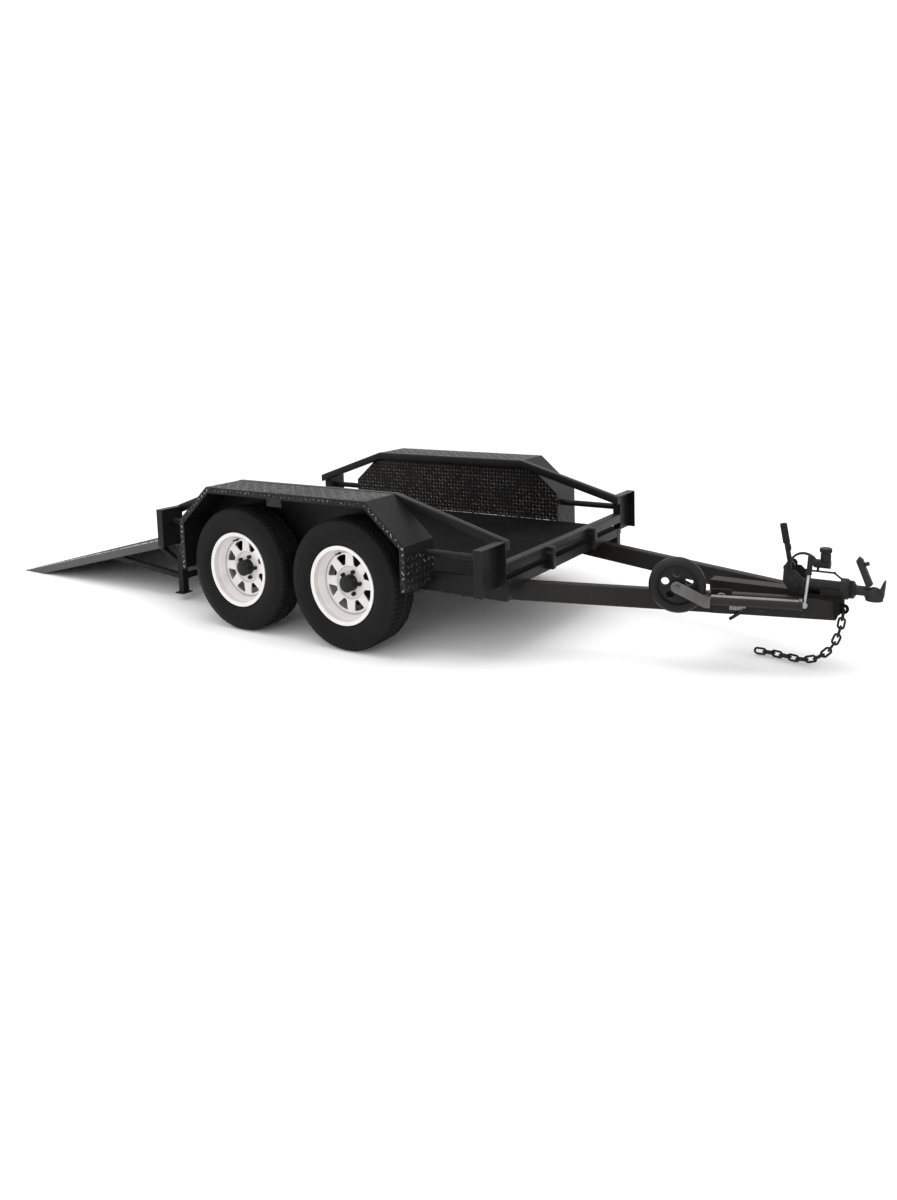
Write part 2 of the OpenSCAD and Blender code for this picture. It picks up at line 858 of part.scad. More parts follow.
placed() {
  deck_floor();
  side_rails();
  end_beams();
  cross_members();
  side_panel(LEFT);  // side_panel_left
  side_panel(RIGHT);  // side_panel_right
  mudguard(LEFT);  // mudguard_left
  mudguard(RIGHT);  // mudguard_right
  top_rail(LEFT);  // top_rail_left
  top_rail(RIGHT);  // top_rail_right
  front_posts();
  rear_posts();
  post_bars();
  headboard();
  drawbar(LEFT);  // drawbar_left
  drawbar(RIGHT);  // drawbar_right
  drawbar_spine();
  nose_plate();
  override_body();
  draw_shaft();
  coupling_head();
  coupling_latch();
  brake_bracket();
  brake_lever();
  fluid_reservoir();
  safety_chain();
  axle(FRONT);  // axle_front
  axle(REAR);  // axle_rear
  lamps();
  hinge_lugs();
  jockey_bracket();
  jockey_tube();
  jockey_leg();
  jockey_wheel();
  for (w = WHEELS) {
    tyre(w[w_end], w[w_side]);
    rim(w[w_end], w[w_side]);
    hub(w[w_end], w[w_side]);
  }
  ramp_frame();
  ramp_plate();
  ramp_pin();
  ramp_legs();
}
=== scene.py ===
"""Looks for a scissor lift trailer: painted steel, checker plate, road wheels, coupling and ramp.

Sizes are metres in the CAD model's frame: +X forward, +Y to the trailer's left, +Z up, ground at 0.
"""

from __future__ import annotations

import json
import logging
import math
from dataclasses import dataclass, field
from enum import Enum
from typing import Any, Callable, Iterable, Sequence

import bpy
from mathutils import Matrix, Vector

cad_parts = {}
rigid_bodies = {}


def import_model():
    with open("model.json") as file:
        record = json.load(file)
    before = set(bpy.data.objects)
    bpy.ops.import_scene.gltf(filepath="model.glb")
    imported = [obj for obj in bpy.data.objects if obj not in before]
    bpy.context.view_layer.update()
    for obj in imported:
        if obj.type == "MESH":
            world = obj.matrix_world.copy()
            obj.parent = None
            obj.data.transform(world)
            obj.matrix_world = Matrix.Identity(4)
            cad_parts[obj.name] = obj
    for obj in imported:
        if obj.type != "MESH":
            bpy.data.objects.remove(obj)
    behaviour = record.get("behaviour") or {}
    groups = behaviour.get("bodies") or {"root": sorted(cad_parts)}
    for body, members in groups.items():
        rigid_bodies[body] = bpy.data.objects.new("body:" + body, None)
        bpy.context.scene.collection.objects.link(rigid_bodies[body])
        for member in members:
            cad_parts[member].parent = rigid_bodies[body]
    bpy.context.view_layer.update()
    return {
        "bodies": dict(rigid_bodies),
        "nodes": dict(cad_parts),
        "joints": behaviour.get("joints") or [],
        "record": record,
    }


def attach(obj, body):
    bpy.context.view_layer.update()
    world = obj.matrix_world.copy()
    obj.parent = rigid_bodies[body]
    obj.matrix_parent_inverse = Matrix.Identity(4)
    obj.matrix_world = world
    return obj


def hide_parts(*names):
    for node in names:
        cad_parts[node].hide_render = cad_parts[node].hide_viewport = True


LOG = logging.getLogger("trailer")
Triple = tuple[float, float, float]
Pair = tuple[float, float]
Piece = bpy.types.Object
Finish = bpy.types.Material
ORIGIN = (0.0, 0.0, 0.0)

# Driving sizes; SHIFT is the middle between the two axles, along X
SHIFT = 0.0142748
HALF_DECK = 0.640
DECK_FRONT = 1.155 + SHIFT
DECK_REAR = -1.045 + SHIFT
GUARD_FLAT = 0.534
WHEEL_REACH = 0.352
WHEEL_RADIUS = 0.325


class Named(Enum):
    """A choice whose name is part of the nodes' names."""

    @property
    def word(self) -> str:
        """The name as the nodes use it."""
        return self.name.lower()


class Side(Named):
    """The two long sides of the trailer, as the sign of Y."""

    LEFT = 1
    RIGHT = -1

    @property
    def way(self) -> Vector:
        """Points out of this side."""
        return Vector((0.0, self.value, 0.0))

    def span(self, near: float, far: float) -> list[float]:
        """The lower and the higher Y of a stretch on this side."""
        return sorted((self.value * near, self.value * far))


class Axle(Named):
    """The two axles, as the sign of X."""

    FRONT = 1
    REAR = -1


class Axis(Enum):
    """The three axes of the frame."""

    X = (1.0, 0.0, 0.0)
    Y = (0.0, 1.0, 0.0)
    Z = (0.0, 0.0, 1.0)


def placed(place: Sequence[float], x: Vector, y: Vector, z: Vector) -> Matrix:
    """The matrix of a frame that stands at a place with these axes."""
    return Matrix.Translation(place) @ Matrix((x, y, z)).transposed().to_4x4()


def toned(colour: Triple, factor: float) -> Triple:
    """A lighter or darker tone of a colour."""
    return tuple(c * factor for c in colour)


# Shader building


class Tap:
    """A shader socket that takes part in Python arithmetic."""

    def __init__(self, graph: Graph, socket: bpy.types.NodeSocket) -> None:
        """Keeps an output socket and the graph that it belongs to."""
        self.graph = graph
        self.socket = socket

    def _maths(self, operation: str, *values: Any, clamp: bool = False) -> Tap:
        """Adds a Math node on taps or numbers; clamp holds its result between 0 and 1."""
        settings = {"operation": operation, "use_clamp": clamp}
        return self.graph.node("ShaderNodeMath", settings, dict(enumerate(values)))

    def __add__(self, other: Any) -> Tap:
        """Adds."""
        return self._maths("ADD", self, other)

    __radd__ = __add__

    def __sub__(self, other: Any) -> Tap:
        """Subtracts."""
        return self._maths("SUBTRACT", self, other)

    def __rsub__(self, other: Any) -> Tap:
        """Subtracts this from a number."""
        return self._maths("SUBTRACT", other, self)

    def __mul__(self, other: Any) -> Tap:
        """Multiplies."""
        return self._maths("MULTIPLY", self, other)

    __rmul__ = __mul__

    def __pow__(self, other: Any) -> Tap:
        """Raises to a power."""
        return self._maths("POWER", self, other)

    def above(self, edge: float, soft: float) -> Tap:
        """Rises from 0 to 1 around an edge; soft is half the width of the rise."""
        inputs = {0: self, 1: edge - soft, 2: edge + soft}
        return self.graph.node("ShaderNodeMapRange", {"interpolation_type": "SMOOTHSTEP"}, inputs)

    def held(self) -> Tap:
        """Holds the value between 0 and 1."""
        return self._maths("ADD", self, 0.0, clamp=True)

    def size(self) -> Tap:
        """The absolute value."""
        return self._maths("ABSOLUTE", self)

    def wave(self) -> Tap:
        """The sine of the value."""
        return self._maths("SINE", self)


class Graph:
    """A material's node tree with one method that makes nodes."""

    def __init__(self, name: str) -> None:
        """Starts a material with a Principled shader.

        Args:
            name: the material's name.
        """
        self.material = bpy.data.materials.new(name)
        self.material.use_nodes = True
        self.tree = self.material.node_tree
        self.shader = self.tree.nodes["Principled BSDF"]
        self.place = self.node("ShaderNodeTexCoord", output="Object")

    def node(
        self,
        kind: str,
        settings: dict[str, Any] | None = None,
        inputs: dict[Any, Any] | None = None,
        output: Any = 0,
    ) -> Tap:
        """Adds a node, sets it, then fills its sockets.

        Args:
            kind: the node's type.
            settings: the node's own settings.
            inputs: values or taps by socket name or number.
            output: the name or number of the socket to give back.

        Returns:
            A tap on that socket.
        """
        made = self.tree.nodes.new(kind)
        for key, value in (settings or {}).items():
            setattr(made, key, value)
        for key, value in (inputs or {}).items():
            self.feed(made.inputs[key], value)
        return Tap(self, made.outputs[output])

    def feed(self, socket: bpy.types.NodeSocket, value: Any) -> None:
        """Links a tap to a socket or sets the socket's value.

        Args:
            socket: the input socket.
            value: a tap, a number, a colour or a vector.
        """
        if isinstance(value, Tap):
            self.tree.links.new(value.socket, socket)
        elif socket.type == "RGBA" and len(value) == 3:
            socket.default_value = (*value, 1.0)
        else:
            socket.default_value = value

    def shade(self, **inputs: Any) -> None:
        """Feeds the Principled shader; underscores stand for spaces in the names."""
        for key, value in inputs.items():
            self.feed(self.shader.inputs[key.replace("_", " ")], value)

    def noise(self, scale: float, detail: float = 3.0, rough: float = 0.55, place: Tap | None = None) -> Tap:
        """A noise between 0 and 1, so many repeats per metre, on the object's own or other coordinates."""
        inputs = {"Vector": place or self.place, "Scale": scale, "Detail": detail, "Roughness": rough}
        return self.node("ShaderNodeTexNoise", None, inputs, "Fac")

    def cells(self, scale: float) -> Tap:
        """The distance to the nearest of a scatter of points, so many per metre."""
        return self.node("ShaderNodeTexVoronoi", None, {"Vector": self.place, "Scale": scale}, "Distance")

    def axis(self, axis: Axis, of: Tap | None = None) -> Tap:
        """One coordinate of a vector or of the object's own coordinates."""
        return self.node("ShaderNodeSeparateXYZ", None, {0: of or self.place}, axis.name)

    def facing(self, axis: Axis) -> Tap:
        """How far the surface faces along an axis of the frame, from -1 to 1."""
        return self.axis(axis, self.node("ShaderNodeNewGeometry", output="Normal"))

    def stretched(self, scale: Triple) -> Tap:
        """Object coordinates stretched by a factor along each axis."""
        return self.node("ShaderNodeMapping", None, {"Vector": self.place, "Scale": scale}, "Vector")

    def wheel_radius(self) -> Tap:
        """The distance from the nearest road wheel's axis.

        Returns:
            The radius in metres.
        """
        along = (self.axis(Axis.X) - SHIFT).size() - WHEEL_REACH
        up = self.axis(Axis.Z) - WHEEL_RADIUS
        return (along * along + up * up) ** 0.5

    def mixed(self, mask: Tap, low: Any, high: Any) -> Tap:
        """Mixes two colours: the first where the mask is 0, the second where it is 1."""
        settings = {"data_type": "RGBA", "clamp_factor": True}
        return self.node("ShaderNodeMix", settings, {0: mask, 6: low, 7: high}, 2)

    def bumped(self, height: Tap, strength: float, distance: float) -> Tap:
        """A normal bumped by a height, where a value of 1 stands for a distance in metres."""
        inputs = {"Height": height, "Strength": strength, "Distance": distance}
        return self.node("ShaderNodeBump", None, inputs, "Normal")


# Finishes


@dataclass(frozen=True)
class Look:
    """A finish with a name."""

    name: str

    def lay(self, g: Graph) -> None:
        """Adds the finish's nodes to a material's graph."""
        raise NotImplementedError

    def material(self) -> Finish:
        """Makes the material.

        Returns:
            The material.
        """
        g = Graph(self.name)
        self.lay(g)
        return g.material


@dataclass(frozen=True)
class Paint(Look):
    """Sprayed enamel on steel, with orange peel, road dust and dull scuffs."""

    colour: Triple
    rough: float = 0.34
    gloss: float = 0.16
    dust: Triple = (0.075, 0.068, 0.060)
    dusty: float = 0.20
    scuff: Triple = (0.06, 0.06, 0.062)
    peel: float = 0.10

    def lay(self, g: Graph) -> None:
        """Lays a cloudy tone, dust, scratches and orange peel.

        Args:
            g: the material's graph.
        """
        cloud = g.noise(2.3, 4.0)
        grain = g.noise(42.0, 3.0)
        streak = g.noise(1.0, 5.0, 0.6, g.stretched((26.0, 26.0, 3.5)))
        upward = g.facing(Axis.Z).held()
        settled = (cloud.above(0.52, 0.16) * 0.45 + streak.above(0.60, 0.12) * 0.35) * (0.35 + upward * 0.65)
        scratch = g.noise(1.0, 2.0, 0.5, g.stretched((9.0, 60.0, 60.0))).above(0.70, 0.03) * 0.5
        tone = g.mixed(cloud, self.colour, toned(self.colour, 1.5))
        dusted = g.mixed(settled * self.dusty, tone, self.dust)
        roughness = self.rough + grain * 0.08 + settled * 0.22 + scratch * 0.1
        peel = g.noise(310.0, 1.0) * 0.6 + g.noise(95.0, 1.0) * 0.4
        g.shade(
            Base_Color=g.mixed(scratch * grain, dusted, self.scuff),
            Roughness=roughness.held(),
            Specular_IOR_Level=self.gloss,
            Normal=g.bumped(peel, self.peel, 0.0006),
        )


@dataclass(frozen=True)
class WornBars(Look):
    """Raised bars of checker plate: specks of dull steel on some crowns, partly worn-through paint and
    partly painted highlight.
    """

    colour: Triple = (0.0075, 0.0072, 0.0074)
    steel: Triple = (0.46, 0.44, 0.42)
    share: float = 0.42
    edge: float = 0.56

    def lay(self, g: Graph) -> None:
        """Lays paint with specks of bare steel, which stand for wear and for painted highlights.

        Args:
            g: the material's graph.
        """
        patch = g.noise(5.0, 3.0)
        speck = g.noise(85.0, 2.0)
        # bare steel specks on the bar crowns: partly wear, partly painted highlights where the bars catch
        # the light
        wear_and_highlight = patch.above(self.edge - 0.08, 0.14) * speck.above(self.edge, 0.05) * self.share
        tone = g.mixed(patch, self.colour, toned(self.colour, 1.7))
        g.shade(
            Base_Color=g.mixed(wear_and_highlight, tone, self.steel),
            Roughness=(0.34 + patch * 0.14 - wear_and_highlight * 0.1).held(),
            Metallic=(wear_and_highlight * 0.8).held(),
            Specular_IOR_Level=0.24,
            Normal=g.bumped(g.noise(260.0, 2.0), 0.12, 0.0006),
        )


@dataclass(frozen=True)
class RimPaint(Look):
    """White powder coat with brake dust in the corners and around the nuts."""

    colour: Triple = (0.73, 0.705, 0.695)
    dirt: Triple = (0.20, 0.175, 0.155)

    def lay(self, g: Graph) -> None:
        """Lays the coat, with dust at the rim's middle and in its well.

        Args:
            g: the material's graph.
        """
        radius = g.wheel_radius()
        smear = g.noise(13.0, 5.0, 0.65)
        fine = g.noise(120.0, 3.0)
        middle = 1.0 - radius.above(0.085, 0.03)
        well = radius.above(0.148, 0.006) * (1.0 - radius.above(0.176, 0.008))
        dirty = (middle * 0.42 + well * 0.22 + smear.above(0.58, 0.14) * 0.28) * (0.45 + fine * 0.8)
        tone = g.mixed(smear, self.colour, toned(self.colour, 0.93))
        g.shade(
            Base_Color=g.mixed(dirty * 0.5, tone, self.dirt),
            Roughness=(0.36 + dirty * 0.3 + fine * 0.06).held(),
            Specular_IOR_Level=0.3,
            Normal=g.bumped(g.noise(240.0, 1.0), 0.09, 0.0006),
        )


@dataclass(frozen=True)
class TyreRubber(Look):
    """Black tyre rubber with fine moulding rings and a film of dust."""

    colour: Triple = (0.0046, 0.0045, 0.0046)
    dust: Triple = (0.017, 0.0152, 0.0142)

    def lay(self, g: Graph) -> None:
        """Lays rubber with rings on its wall and dust near its tread.

        Args:
            g: the material's graph.
        """
        radius = g.wheel_radius()
        rings = (radius * 1500.0).wave() * 0.5 + 0.5
        side = radius.above(0.212, 0.004) * (1.0 - radius.above(0.286, 0.006))
        cloud = g.noise(8.0, 5.0, 0.62)
        grain = g.noise(420.0, 2.0)
        film = cloud.above(0.55, 0.16) * 0.30 + radius.above(0.30, 0.018) * cloud * 0.22
        g.shade(
            Base_Color=g.mixed(film, self.colour, self.dust),
            Roughness=(0.58 + film * 0.3 + grain * 0.08).held(),
            Specular_IOR_Level=0.12,
            Normal=g.bumped(rings * side * 0.35 + grain * 0.5, 0.22, 0.0008),
        )


@dataclass(frozen=True)
class Zinc(Look):
    """Bright zinc plate with drawn lines and grey bloom."""

    colour: Triple = (0.50, 0.50, 0.51)
    bloom: Triple = (0.26, 0.26, 0.27)

    def lay(self, g: Graph) -> None:
        """Lays bright plate with duller clouds and spangles.

        Args:
            g: the material's graph.
        """
        cloud = g.noise(16.0, 4.0, 0.6)
        lines = g.noise(1.0, 2.0, 0.5, g.stretched((30.0, 300.0, 300.0)))
        dull = (cloud.above(0.5, 0.2) * 0.7 + g.cells(130.0) * 0.3).held()
        g.shade(
            Base_Color=g.mixed(dull, self.colour, self.bloom),
            Metallic=(0.92 - dull * 0.22).held(),
            Roughness=(0.26 + dull * 0.24 + lines * 0.1).held(),
            Normal=g.bumped(lines, 0.10, 0.0005),
        )


@dataclass(frozen=True)
class Casting(Look):
    """Sand-cast or forged steel under thin black paint."""

    colour: Triple = (0.0075, 0.0073, 0.0072)
    bare: Triple = (0.07, 0.064, 0.058)
    pits: float = 190.0
    rough: float = 0.44
    bare_share: float = 0.28

    def lay(self, g: Graph) -> None:
        """Lays thin paint over a sandy skin, bare on some crowns.

        Args:
            g: the material's graph.
        """
        cloud = g.noise(11.0, 5.0, 0.6)
        sand = g.noise(self.pits, 3.0, 0.6)
        crowns = g.noise(60.0, 3.0).above(0.62, 0.06) * cloud.above(0.46, 0.12)
        tone = g.mixed(cloud, self.colour, toned(self.colour, 1.9))
        g.shade(
            Base_Color=g.mixed(crowns * self.bare_share, tone, self.bare),
            Metallic=(crowns * 0.35).held(),
            Roughness=(self.rough + sand * 0.16 - crowns * 0.08).held(),
            Specular_IOR_Level=0.18,
            Normal=g.bumped(sand, 0.34, 0.0012),
        )


@dataclass(frozen=True)
class Moulding(Look):
    """Moulded plastic or soft grip rubber with a fine grain."""

    colour: Triple
    rough: float = 0.5
    grain: float = 520.0
    coat: float = 0.0

    def lay(self, g: Graph) -> None:
        """Lays a cloudy tone with a fine grain.

        Args:
            g: the material's graph.
        """
        cloud = g.noise(20.0, 3.0)
        grain = g.noise(self.grain, 2.0)
        g.shade(
            Base_Color=g.mixed(cloud, toned(self.colour, 0.8), toned(self.colour, 1.35)),
            Roughness=(self.rough + grain * 0.12 + cloud * 0.08 - 0.06).held(),
            Specular_IOR_Level=0.2,
            Coat_Weight=self.coat,
            Normal=g.bumped(grain, 0.16, 0.0006),
        )


@dataclass(frozen=True)
class GreasedTube(Look):
    """Zinc tube laid dark all over, with a painted highlight along its top."""

    # the tube's dark tone all over
    film: Triple = (0.016, 0.0145, 0.0135)
    # colour of the painted highlight along the tube's top
    bright: Triple = (0.36, 0.35, 0.34)

    def lay(self, g: Graph) -> None:
        """Lays a dark tone, with a painted highlight where the tube faces up.

        Args:
            g: the material's graph.
        """
        cloud = g.noise(14.0, 4.0, 0.6)
        lines = g.noise(1.0, 2.0, 0.5, g.stretched((20.0, 260.0, 260.0)))
        upward = g.axis(Axis.Z, g.node("ShaderNodeTexCoord", output="Normal"))
        # painted highlight: where the tube faces up it is laid bright and more metallic, as if lit from
        # above
        wear_and_highlight = upward.above(0.80, 0.16) * (0.35 + cloud * 0.6)
        g.shade(
            Base_Color=g.mixed(wear_and_highlight, self.film, self.bright),
            Metallic=(0.15 + wear_and_highlight * 0.6).held(),
            Roughness=(0.40 + cloud * 0.18 - wear_and_highlight * 0.12 + lines * 0.06).held(),
            Specular_IOR_Level=0.2,
            Normal=g.bumped(lines, 0.10, 0.0005),
        )


@dataclass(frozen=True)
class Backdrop(Look):
    """Pale studio floor."""

    colour: Triple = (0.93, 0.93, 0.93)

    def lay(self, g: Graph) -> None:
        """Lays one even tone on a material's graph."""
        g.shade(Base_Color=self.colour, Roughness=0.9, Specular_IOR_Level=0.1)


def made(look: Look) -> Any:
    """A dataclass field that holds a finish's material."""
    return field(default_factory=look.material)


@dataclass
class Finishes:
    """The trailer's finishes, each made once."""

    black: Finish = made(Paint("black_enamel", (0.0050, 0.0050, 0.0054), gloss=0.14))
    drawbar: Finish = made(Paint("drawbar_enamel", (0.0098, 0.0080, 0.0071), rough=0.42, dusty=0.22))
    ramp: Finish = made(Paint("ramp_enamel", (0.0068, 0.0068, 0.0072), rough=0.5, gloss=0.10, dusty=0.22))
    nose: Finish = made(Paint("nose_enamel", (0.0080, 0.0066, 0.0060), rough=0.8, gloss=0.01, dusty=0.22))
    floor: Finish = made(Paint("deck_enamel", (0.0036, 0.0036, 0.0038), rough=0.66, gloss=0.03, dusty=0.08))
    ramp_rail: Finish = made(Paint("ramp_rail_enamel", (0.055, 0.055, 0.057), rough=0.46, dusty=0.3))
    # a painted highlight along the ramp rails' top edges, laid as worn steel
    ramp_edge: Finish = made(WornBars("ramp_edge", (0.05, 0.05, 0.05), (0.60, 0.59, 0.57), 0.72, 0.47))
    # checker bars: bright steel specks stand for wear and for painted highlights; the lips carry the most
    bars: Finish = made(WornBars("checker_bars"))
    panel_bars: Finish = made(WornBars("panel_bars", steel=(0.42, 0.345, 0.29), share=0.60, edge=0.48))
    lip_bars: Finish = made(WornBars("lip_bars", share=0.8, edge=0.50))
    white: Finish = made(RimPaint("rim_white"))
    tyre: Finish = made(TyreRubber("tyre_rubber"))
    zinc: Finish = made(Zinc("zinc_plate"))
    dull_zinc: Finish = made(Zinc("dull_zinc", (0.13, 0.128, 0.124), (0.075, 0.073, 0.070)))
    # a tube with a painted highlight along its top
    greased: Finish = made(GreasedTube("greased_zinc"))
    cast: Finish = made(Casting("black_casting"))
    head: Finish = made(Casting("forged_head", (0.0125, 0.0120, 0.0108), rough=0.5, bare_share=0.4))
    chain: Finish = made(Casting("black_chain", (0.0065, 0.0065, 0.0065), pits=320.0, rough=0.4))
    grip: Finish = made(Moulding("grip_rubber", (0.0065, 0.0065, 0.0065), rough=0.52))
    roller: Finish = made(Moulding("roller_rubber", (0.0068, 0.0068, 0.0070), rough=0.50, grain=260.0))
    plastic: Finish = made(Moulding("black_plastic", (0.0075, 0.0075, 0.0080), rough=0.42))
    red: Finish = made(Moulding("red_lens", (0.42, 0.012, 0.010), rough=0.16, coat=0.6))
    amber: Finish = made(Moulding("amber_lens", (0.62, 0.20, 0.012), rough=0.16, coat=0.6))


# Modelling by operators


class Bench:
    """Hand tools: primitives, edit-mode operators and modifiers; points nearer than MERGE become one."""

    MERGE = 0.00002

    @staticmethod
    def clear() -> None:
        """Leaves edit mode and deselects everything."""
        if bpy.context.object and bpy.context.object.mode != "OBJECT":
            bpy.ops.object.mode_set(mode="OBJECT")
        bpy.ops.object.select_all(action="DESELECT")

    @classmethod
    def pick(cls, *pieces: Piece) -> None:
        """Selects pieces and makes the first one active.

        Args:
            pieces: the pieces.
        """
        cls.clear()
        for piece in pieces:
            piece.select_set(True)
        bpy.context.view_layer.objects.active = pieces[0]

    @staticmethod
    def named(name: str) -> Piece:
        """Names the active piece.

        Args:
            name: the piece's name.

        Returns:
            The piece.
        """
        piece = bpy.context.object
        piece.name = name
        piece.data.name = name
        return piece

    @classmethod
    def settle(cls, piece: Piece) -> Piece:
        """Puts the piece's place into its mesh.

        Args:
            piece: the piece.

        Returns:
            The same piece.
        """
        cls.pick(piece)
        bpy.ops.object.transform_apply(location=True, rotation=True, scale=True)
        return piece

    @classmethod
    def move(cls, piece: Piece, matrix: Matrix) -> Piece:
        """Moves a piece whose place is in its mesh, and settles it there."""
        piece.matrix_world = matrix
        return cls.settle(piece)

    @classmethod
    def box(cls, name: str, low: Sequence[float], high: Sequence[float]) -> Piece:
        """Adds a box between two corners.

        Args:
            name: the piece's name.
            low: the lowest corner.
            high: the highest corner.

        Returns:
            The piece.
        """
        cls.clear()
        middle = [(a + b) / 2 for a, b in zip(low, high)]
        bpy.ops.mesh.primitive_cube_add(size=1.0, location=middle)
        piece = cls.named(name)
        piece.scale = [b - a for a, b in zip(low, high)]
        return cls.settle(piece)

    @classmethod
    def rod(cls, name: str, start: Vector, end: Vector, radius: float, sides: int) -> Piece:
        """Adds a round bar between two points.

        Args:
            name: the piece's name.
            start: one end.
            end: the other end.
            radius: the bar's radius.
            sides: sides of the section.

        Returns:
            The piece.
        """
        cls.clear()
        run = end - start
        turn = run.to_track_quat("Z", "Y").to_euler()
        bpy.ops.mesh.primitive_cylinder_add(
            vertices=sides, radius=radius, depth=run.length, location=(start + end) / 2, rotation=turn
        )
        return cls.settle(cls.named(name))

    @classmethod
    def drum(cls, name: str, sides: int, radius: float, low: float, depth: float) -> Piece:
        """Adds an upright prism over the origin.

        Args:
            name: the piece's name.
            sides: sides of the section.
            radius: the section's radius at its corners.
            low: the height of the foot.
            depth: the height of the prism itself.

        Returns:
            The piece.
        """
        cls.clear()
        middle = (0.0, 0.0, low + depth / 2)
        bpy.ops.mesh.primitive_cylinder_add(vertices=sides, radius=radius, depth=depth, location=middle)
        return cls.settle(cls.named(name))

    @classmethod
    def turned(
        cls, name: str, outline: Sequence[Pair], middle: Sequence[float], axis: Axis, steps: int
    ) -> Piece:
        """Spins an outline of radius and height around an axis through a point.

        Args:
            name: the piece's name.
            outline: pairs of radius and place along the axis.
            middle: a point on the axis.
            axis: the axis.
            steps: steps of the full turn.

        Returns:
            The piece.
        """
        cls.clear()
        out = Vector((Axis.X if axis is Axis.Z else Axis.Z).value)
        way = Vector(axis.value)
        points = [Vector(middle) + out * r + way * h for r, h in outline]
        bpy.ops.mesh.primitive_plane_add(size=0.01, location=points[0])
        piece = cls.settle(cls.named(name))
        cls.edit(piece, "VERT")
        bpy.ops.mesh.merge(type="CENTER")
        for a, b in zip(points, points[1:]):
            bpy.ops.mesh.extrude_region_move(TRANSFORM_OT_translate={"value": b - a})
        bpy.ops.mesh.select_all(action="SELECT")
        bpy.ops.mesh.spin(steps=steps, angle=math.tau, center=tuple(middle), axis=tuple(way))
        return cls.face_out(piece)

    @classmethod
    def edit(cls, piece: Piece, kind: str, action: str = "SELECT") -> None:
        """Enters edit mode.

        Args:
            piece: the piece.
            kind: VERT or FACE.
            action: SELECT for all of the piece, DESELECT for nothing.
        """
        cls.pick(piece)
        bpy.ops.object.mode_set(mode="EDIT")
        bpy.ops.mesh.select_mode(type=kind)
        bpy.ops.mesh.select_all(action=action)

    @classmethod
    def choose(cls, piece: Piece, test: Callable[[Vector, Vector], bool]) -> None:
        """Enters edit mode with some faces selected.

        Args:
            piece: the piece.
            test: takes a face's middle and normal, and tells whether the face is selected.
        """
        cls.edit(piece, "FACE", "DESELECT")
        bpy.ops.object.mode_set(mode="OBJECT")
        for face in piece.data.polygons:
            face.select = test(face.center, face.normal)
        bpy.ops.object.mode_set(mode="EDIT")

    @classmethod
    def sink(cls, piece: Piece, test: Callable[[Vector, Vector], bool], rim: float, depth: float) -> None:
        """Sinks each chosen face by itself, inside a rim.

        Args:
            piece: the piece.
            test: takes a face's middle and normal, and tells whether the face is sunk.
            rim: the rim's width.
            depth: how far the face goes down.
        """
        cls.choose(piece, test)
        bpy.ops.mesh.inset(thickness=rim, depth=-depth, use_individual=True)
        bpy.ops.object.mode_set(mode="OBJECT")

    @classmethod
    def modify(cls, piece: Piece, kind: str, **settings: Any) -> None:
        """Adds a modifier and applies it.

        Args:
            piece: the piece.
            kind: the modifier's type.
            settings: its settings.
        """
        cls.pick(piece)
        modifier = piece.modifiers.new(kind.lower(), kind)
        for key, value in settings.items():
            setattr(modifier, key, value)
        bpy.ops.object.modifier_apply(modifier=modifier.name)

    @classmethod
    def bevel(cls, piece: Piece, width: float, segments: int = 2, angle: float = 35.0) -> None:
        """Rounds the piece's edges that are sharper than an angle in degrees."""
        limit = {"limit_method": "ANGLE", "angle_limit": math.radians(angle)}
        cls.modify(piece, "BEVEL", width=width, segments=segments, **limit)

    @classmethod
    def repeat(cls, piece: Piece, count: int, step: Triple) -> None:
        """Repeats a piece in a row."""
        fixed = {"use_relative_offset": False, "use_constant_offset": True}
        cls.modify(piece, "ARRAY", count=count, **fixed, constant_offset_displace=step)

    @classmethod
    def smooth(cls, piece: Piece, angle: float) -> None:
        """Shades the piece smooth except at edges sharper than an angle in degrees."""
        cls.pick(piece)
        bpy.ops.object.shade_smooth_by_angle(angle=math.radians(angle))

    @classmethod
    def join(cls, name: str, pieces: Sequence[Piece]) -> Piece:
        """Joins pieces into one.

        Args:
            name: the joined piece's name.
            pieces: the pieces.

        Returns:
            The joined piece.
        """
        cls.pick(*pieces)
        if len(pieces) > 1:
            bpy.ops.object.join()
        return cls.named(name)

    @classmethod
    def copy(cls, piece: Piece, name: str, matrix: Matrix) -> Piece:
        """Copies a piece with its own mesh, moved by a matrix.

        Args:
            piece: the piece to copy.
            name: the copy's name.
            matrix: where the copy goes.

        Returns:
            The copy.
        """
        cls.pick(piece)
        bpy.ops.object.duplicate(linked=False)
        double = cls.move(cls.named(name), matrix)
        return cls.face_out(double) if matrix.determinant() < 0 else double

    @classmethod
    def face_out(cls, piece: Piece) -> Piece:
        """Merges doubles and turns the faces outwards.

        Args:
            piece: the piece.

        Returns:
            The same piece.
        """
        cls.edit(piece, "VERT")
        bpy.ops.mesh.remove_doubles(threshold=cls.MERGE)
        bpy.ops.mesh.normals_make_consistent(inside=False)
        bpy.ops.object.mode_set(mode="OBJECT")
        return piece

    @classmethod
    def trim(cls, piece: Piece, point: Sequence[float], normal: Sequence[float]) -> None:
        """Cuts away what lies beyond a plane.

        Args:
            piece: the piece.
            point: a point on the plane.
            normal: points to the side that goes.
        """
        cls.edit(piece, "VERT")
        bpy.ops.mesh.bisect(plane_co=tuple(point), plane_no=tuple(normal), clear_outer=True, use_fill=False)
        bpy.ops.object.mode_set(mode="OBJECT")

